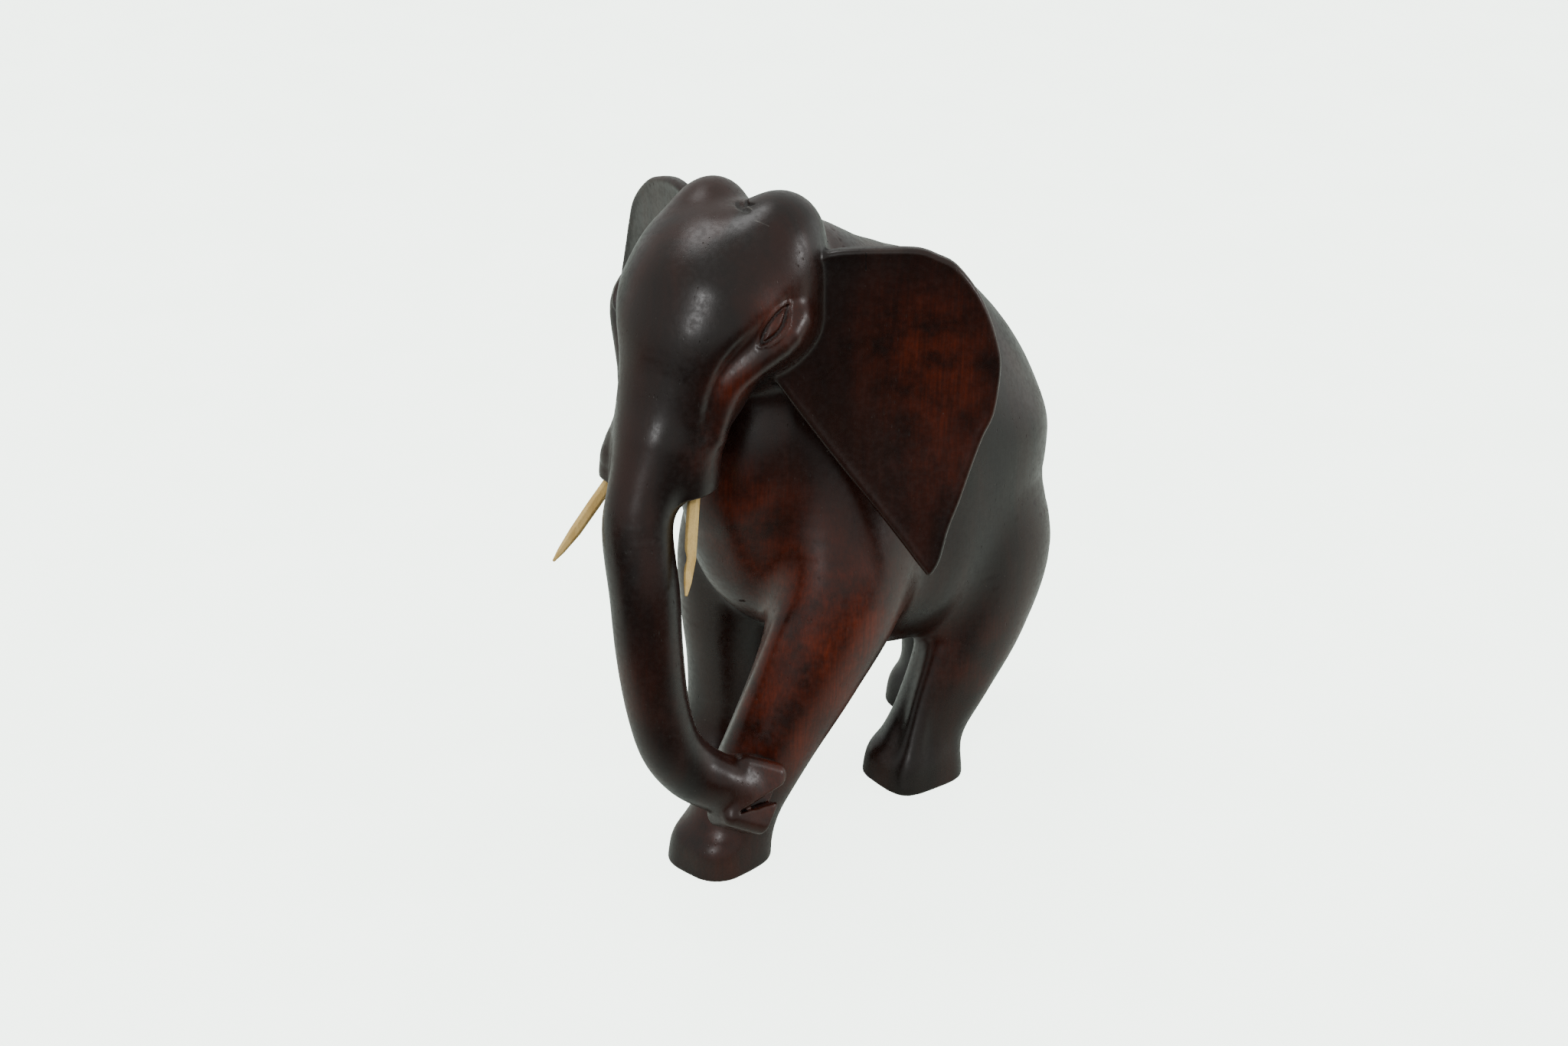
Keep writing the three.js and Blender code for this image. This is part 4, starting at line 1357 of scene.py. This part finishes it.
@dataclass(frozen=True)
class OpenPores(ShaderGroup):
    """Short dark strokes where the wood's vessels are cut open."""

    name: ClassVar[str] = "open_pores"
    numbers: ClassVar[dict[str, float]] = {"Scale": 520.0, "Reach": 0.2}
    results: ClassVar[tuple[str, ...]] = ("Pores",)
    stretch: tuple[float, float, float] = (1, 1, 0.32)
    patch_scale: float = 90.0

    def lay(self, n: Nodes, given: bpy.types.NodeOutputs, wanted: bpy.types.NodeInputs) -> None:
        """Lays drawn-out cells whose middles are the strokes, kept to patches."""
        place = n.vector("MULTIPLY", given["Place"], self.stretch)
        cells = n.at(place, "ShaderNodeTexVoronoi", feature="F1", Randomness=1.0)
        n.link(given["Scale"], cells.inputs["Scale"])
        share = n.math("DIVIDE", cells.outputs["Distance"], given["Reach"])
        stroke = n.math("SUBTRACT", 1.0, n.ramp(share, 0.4, 1.0))
        patches = n.at(given["Place"], "ShaderNodeTexNoise", Scale=self.patch_scale, Detail=1.0)
        n.link(n.math("MULTIPLY", stroke, n.ramp(patches.outputs["Fac"], 0.5, 0.72)), wanted["Pores"])


@dataclass(frozen=True)
class ScratchLine(ShaderGroup):
    """A thin straight scratch between two places of the object."""

    name: ClassVar[str] = "scratch_line"
    numbers: ClassVar[dict[str, float]] = {"Half Width": 0.0004}
    vectors: ClassVar[tuple[str, ...]] = ("Place", "Start", "Run")
    results: ClassVar[tuple[str, ...]] = ("Scratch",)

    def lay(self, n: Nodes, given: bpy.types.NodeOutputs, wanted: bpy.types.NodeInputs) -> None:
        """Lays a mask that falls from one to nothing over the scratch's half width.

        The nearest point of the line is found by the share of its length that the place projects to.

        Args:
            n: The group's nodes.
            given: Its inputs.
            wanted: Its outputs.
        """
        run = given["Run"]
        offset = n.vector("SUBTRACT", given["Place"], given["Start"])
        share = n.math("DIVIDE", n.vector("DOT_PRODUCT", offset, run), n.vector("DOT_PRODUCT", run, run))
        share = n.math("MULTIPLY", share, 1.0, clamp=True)
        nearest = n.add("ShaderNodeVectorMath", operation="SCALE")
        n.link(run, nearest.inputs[0])
        n.link(share, nearest.inputs["Scale"])
        gap = n.vector("LENGTH", n.vector("SUBTRACT", offset, nearest.outputs[0]))
        share = n.math("DIVIDE", gap, given["Half Width"])
        n.link(n.math("SUBTRACT", 1.0, share, clamp=True), wanted["Scratch"])


def new_material(name: str) -> tuple[bpy.types.Material, Nodes, bpy.types.NodeInputs, Socket]:
    """Makes a material with its nodes on.

    Args:
        name: The material's name.

    Returns:
        The material, its nodes, its shader's inputs and the object's coordinates.
    """
    mat = bpy.data.materials.new(name)
    mat.use_nodes = True
    n = Nodes(mat.node_tree)
    shader = mat.node_tree.nodes["Principled BSDF"]
    return mat, n, shader.inputs, n.add("ShaderNodeTexCoord").outputs["Object"]


@dataclass(frozen=True)
class DarkWaxedWood:
    """Near-black red-brown wood with a worn wax shine."""

    deep: Colour = (0.0072, 0.0026, 0.0017, 1)
    warm: Colour = (0.022, 0.0046, 0.0020, 1)
    red: Colour = (0.17, 0.0185, 0.0012, 1)
    worn: Colour = (0.030, 0.015, 0.010, 1)
    # Near-black tone mixed in where the surface is hollow, so hollows are drawn darker.
    hollow_dark: Colour = (0.0040, 0.0036, 0.0032, 1)
    pore: Colour = (0.0015, 0.0010, 0.0010, 1)
    dust: Colour = (0.11, 0.10, 0.09, 1)
    worn_share: float = 0.45
    hollow_dark_share: float = 0.7
    pore_share: float = 0.3
    dust_share: float = 0.55
    scratch_share: float = 0.8
    shine: float = 0.30
    specular: float = 0.42
    patch_scale: float = 48.0
    speck_scale: float = 210.0
    wear_scale: float = 420.0
    bump_height: float = 0.0003
    pale_scratches: tuple[tuple, ...] = (
        ((12, -70, 305.4), (13, -2.6, 0.4), 0.5), ((24, -71.5, 305.6), (9, -1.2, -2.4), 0.45),
        ((30, -76.0, 303.6), (6, 3.4, -2.0), 0.4),
    )
    dark_cracks: tuple[tuple, ...] = (((55.6, -35.4, 288.0), (-0.3, 0.6, -8.5), 0.45),)

    def scratches(self, n: Nodes, place: Socket, lines: Sequence[tuple]) -> Socket:
        """Lays several scratches.

        Args:
            n: The material's nodes.
            place: The object's coordinates.
            lines: A start and a run in the body's axes and a half width, in millimetres, for each.

        Returns:
            Their mask.
        """
        total = 0.0
        for start, run, half in lines:
            line = ScratchLine().use(
                n, place, Start=tuple((np.asarray(start) + BODY_TO_PART) * MILLIMETRE),
                Run=tuple(np.asarray(run) * MILLIMETRE), Half_Width=half * MILLIMETRE,
            )
            total = n.math("ADD", line.outputs["Scratch"], total, clamp=True)
        return total

    def material(self) -> bpy.types.Material:
        """Builds the material.

        The colour goes from deep to warm with the figure, to red in the stains, and is paler on
        worn ridges, darker in hollows, pores and cracks, and dusty in specks and scratches.

        Returns:
            The finished material.
        """
        mat, n, shader, place = new_material("dark_waxed_wood")
        grain, pores = WoodGrain().use(n, place), OpenPores().use(n, place).outputs["Pores"]
        masks = [n.add("ShaderNodeAttribute", attribute_name=a) for a in ("ridge", "hollow", "stain")]
        ridge, hollow, stain = (mask.outputs["Fac"] for mask in masks)
        patch = n.at(place, "ShaderNodeTexNoise", Scale=self.patch_scale, Detail=4.0, Roughness=0.65)
        patch = patch.outputs["Fac"]
        colour = n.mix(n.ramp(grain.outputs["Figure"], 0.38, 0.66), self.deep, self.warm)
        streak = n.math("MULTIPLY_ADD", n.ramp(grain.outputs["Fibre"], 0.3, 0.75), 0.5, 0.6)
        reddish = n.math("MULTIPLY", stain, n.ramp(patch, 0.24, 0.72))
        colour = n.mix(n.math("MULTIPLY", reddish, streak, clamp=True), colour, self.red)
        edge = n.math("MULTIPLY", n.ramp(ridge, 0.3, 0.9), n.ramp(patch, 0.4, 0.7))
        specks = n.at(place, "ShaderNodeTexVoronoi", feature="F1", Scale=self.speck_scale, Randomness=1.0)
        dusty = n.math("SUBTRACT", 1.0, n.ramp(specks.outputs["Distance"], 0.03, 0.085))
        dusty = n.math("MULTIPLY", dusty, n.ramp(patch, 0.5, 0.62))
        cracks = self.scratches(n, place, self.dark_cracks)
        for mask, share, other in (
            # Hollows drawn darker with the near-black tone, by the hollow mask.
            (edge, self.worn_share, self.worn), (n.ramp(hollow, 0.15, 0.8), self.hollow_dark_share, self.hollow_dark),
            (pores, self.pore_share, self.pore), (dusty, self.dust_share, self.dust),
            (self.scratches(n, place, self.pale_scratches), self.scratch_share, self.dust),
            (cracks, 1.0, self.pore),
        ):
            colour = n.mix(n.math("MULTIPLY", mask, share), colour, other)
        wear = n.at(place, "ShaderNodeTexNoise", Scale=self.wear_scale, Detail=2.0).outputs["Fac"]
        rough = self.shine - 0.04
        for mask, share in (
            (n.ramp(patch, 0.3, 0.7), 0.08), (n.ramp(wear, 0.4, 0.65), 0.08),
            (n.ramp(hollow, 0.2, 0.9), 0.2), (n.math("ADD", pores, dusty), 0.3),
        ):
            rough = n.math("MULTIPLY_ADD", mask, share, rough)
        height = n.math("MULTIPLY_ADD", grain.outputs["Fibre"], 0.2, n.math("MULTIPLY", pores, -1.0))
        height = n.math("MULTIPLY_ADD", wear, 0.25, height)
        height = n.math("SUBTRACT", height, n.math("MULTIPLY", cracks, 1.5))
        bumps = n.add("ShaderNodeBump", Strength=0.35, Distance=self.bump_height)
        n.link(height, bumps.inputs["Height"])
        n.feed(
            [shader[k] for k in ("Base Color", "Roughness", "Specular IOR Level", "Normal")],
            (colour, rough, self.specular, bumps.outputs["Normal"]),
        )
        return mat


@dataclass(frozen=True)
class PaleWhittledWood:
    """Bare yellowish wood with long fibres and knife marks."""

    light: Colour = (0.88, 0.60, 0.215, 1)
    straw: Colour = (0.72, 0.455, 0.135, 1)
    fibre: Colour = (0.30, 0.17, 0.055, 1)
    fibre_share: float = 0.35
    bump_height: float = 0.0002

    def material(self) -> bpy.types.Material:
        """Builds the material.

        Returns:
            The finished material.
        """
        mat, n, shader, place = new_material("pale_whittled_wood")
        grain = WoodGrain().use(n, place, Figure_Scale=160.0, Fibre_Scale=2200.0)
        figure, fibre = grain.outputs["Figure"], grain.outputs["Fibre"]
        colour = n.mix(n.ramp(figure, 0.35, 0.65), self.light, self.straw)
        threads = n.math("MULTIPLY", n.ramp(fibre, 0.45, 0.8), self.fibre_share)
        colour = n.mix(threads, colour, self.fibre)
        bumps = n.add("ShaderNodeBump", Strength=0.5, Distance=self.bump_height)
        n.link(fibre, bumps.inputs["Height"])
        n.feed(
            [shader[k] for k in ("Base Color", "Roughness", "Normal")],
            (colour, n.math("MULTIPLY_ADD", fibre, 0.2, 0.5), bumps.outputs["Normal"]),
        )
        return mat


# Studio


@dataclass(frozen=True)
class Studio:
    """Plain pale floor, soft lights and the camera at the photograph's viewing angle.

    Each lamp is a name; the way to it as the viewer's right, up and toward the viewer; its distance
    and diameter in metres; and its power in watts.
    """

    floor_half: float = 6.0
    floor_tones: tuple[Colour, Colour] = ((0.78, 0.86, 0.79, 1), (0.80, 0.875, 0.81, 1))
    dim_tone: Colour = (0.05, 0.05, 0.05, 1)
    pool: float = 0.10
    pool_edge: float = 0.18
    glow: float = 4.6
    sky: Colour = (0.93, 0.97, 0.94, 1)
    sky_strength: float = 0.8
    lens: float = 65.82
    sensor: float = 36.0
    eye: tuple[float, float, float] = (877.795, -801.904, 719.8)
    yaw: float = 1.4077
    pitch: float = 26.4777
    roll: float = 1.6258
    body_turn: float = 50.0
    centre: tuple[float, float, float] = (0.0, 0.0, 0.15)
    toward: tuple[float, float, float] = (0.761, -0.647, 0.0)
    right: tuple[float, float, float] = (0.647, 0.761, 0.0)
    lamps: tuple[tuple, ...] = (
        ("key", (-0.28, 0.5, 0.83), 1.6, 0.3, 5),
        ("side", (0.95, 0.3, 0.15), 1.5, 0.35, 4),
        ("top", (-0.3, 1.0, -0.2), 1.6, 0.8, 8),
        ("rim", (0.92, 0.05, -0.42), 1.5, 1.0, 1.3),
    )

    def floor(self) -> bpy.types.Object:
        """Builds the floor as a flat sheet with a faint mottle.

        The viewer sees it pale all over; the carving mirrors a pale ground under and behind it and a
        dim room before it, as it does in the photograph.

        Returns:
            The floor.
        """
        half = self.floor_half
        mesh = bpy.data.meshes.new("studio_floor")
        corners = [(-half, -half, 0), (half, -half, 0), (half, half, 0), (-half, half, 0)]
        mesh.from_pydata(corners, [], [(0, 1, 2, 3)])
        mat, n, shader, place = new_material("studio_floor")
        noise = n.at(place, "ShaderNodeTexNoise", Scale=14.0, Detail=3.0)
        pale = n.mix(n.ramp(noise.outputs["Fac"], 0.3, 0.7), *self.floor_tones)
        far = n.ramp(n.vector("DOT_PRODUCT", place, self.toward), self.pool, self.pool + self.pool_edge)
        seen = n.add("ShaderNodeLightPath").outputs["Is Camera Ray"]
        colour = n.mix(seen, n.mix(far, pale, self.dim_tone), pale)
        n.feed(
            [shader[k] for k in ("Base Color", "Emission Color", "Emission Strength", "Roughness")],
            (colour, pale, n.math("MULTIPLY", seen, self.glow), 0.7),
        )
        mesh.materials.append(mat)
        sheet = in_scene("studio_floor", mesh)
        return sheet

    def camera(self) -> bpy.types.Object:
        """Sets the camera from its yaw, pitch and roll, turned into the part's axes.

        Returns:
            The camera.
        """
        yaw, pitch, roll = np.radians([self.yaw, self.pitch, self.roll])
        ahead = np.array([np.sin(yaw) * np.cos(pitch), np.cos(yaw) * np.cos(pitch), -np.sin(pitch)])
        level = np.array([np.cos(yaw), -np.sin(yaw), 0.0])
        rise = np.cross(level, ahead)
        right = np.cos(roll) * level + np.sin(roll) * rise
        up = np.cos(roll) * rise - np.sin(roll) * level
        axes = plane_turn(self.body_turn) @ np.stack([right, up, -ahead], 1)
        data = bpy.data.cameras.new("photograph_view")
        data.lens, data.sensor_width, data.sensor_fit = self.lens, self.sensor, "HORIZONTAL"
        data.clip_start, data.clip_end = 0.05, 50.0
        camera = in_scene("photograph_view", data)
        place = Matrix(axes.tolist()).to_4x4()
        place.translation = Vector(np.asarray(self.eye) + BODY_TO_PART) * MILLIMETRE
        camera.matrix_world = place
        bpy.context.scene.camera = camera
        return camera

    def light(self, name: str, way: Sequence[float], distance: float, size: float, power: float) -> None:
        """Adds a soft round light.

        Args:
            name: The light's name.
            way: From the carving to the light as the viewer's right, up and toward the viewer.
            distance: How far off it stands, in metres.
            size: Its diameter, in metres.
            power: Its power in watts.
        """
        line = unit(np.asarray(way) @ np.array([self.right, (0.0, 0.0, 1.0), self.toward]))
        data = bpy.data.lights.new(name, "AREA")
        data.shape, data.size, data.energy = "DISK", size, power
        lamp = in_scene(name, data)
        lamp.location = Vector(self.centre) + Vector(line) * distance
        lamp.rotation_euler = Vector(line).to_track_quat("Z", "Y").to_euler()

    def build(self) -> None:
        """Sets the world, floor, lights and camera."""
        world = bpy.data.worlds.new("studio")
        world.use_nodes = True
        background = world.node_tree.nodes["Background"]
        background.inputs["Color"].default_value = self.sky
        background.inputs["Strength"].default_value = self.sky_strength
        bpy.context.scene.world = world
        self.floor()
        for lamp in self.lamps:
            self.light(*lamp)
        self.camera()


def main() -> None:
    """Builds each sub-assembly in order, dresses it and reports it."""
    logging.basicConfig(level=logging.INFO, format="%(name)s: %(message)s")
    dark, pale = DarkWaxedWood().material(), PaleWhittledWood().material()
    elephant = CarvedElephant()
    left = WhittledTusk(
        "left_tusk_stick", "left_tusk", mouth=(12, -47, 192.5), heading=(11.3, -22.6, -31.5), kink=0.42,
    )
    right = WhittledTusk("right_tusk_stick", "right_tusk", mouth=(-23, -54, 193), heading=(-13, -22.3, -31))
    for part, mat, slot in (
        (elephant, dark, "dark_wood"), (left, pale, "pale_wood"), (right, pale, "pale_wood"),
    ):
        piece = part.build()
        piece.data.materials.append(mat)
        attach(piece, "root")
        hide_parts(part.node)
        LOG.info("%s: %d faces", piece.name, len(piece.data.polygons))
    Studio().build()


if __name__ == "__main__":
    main()
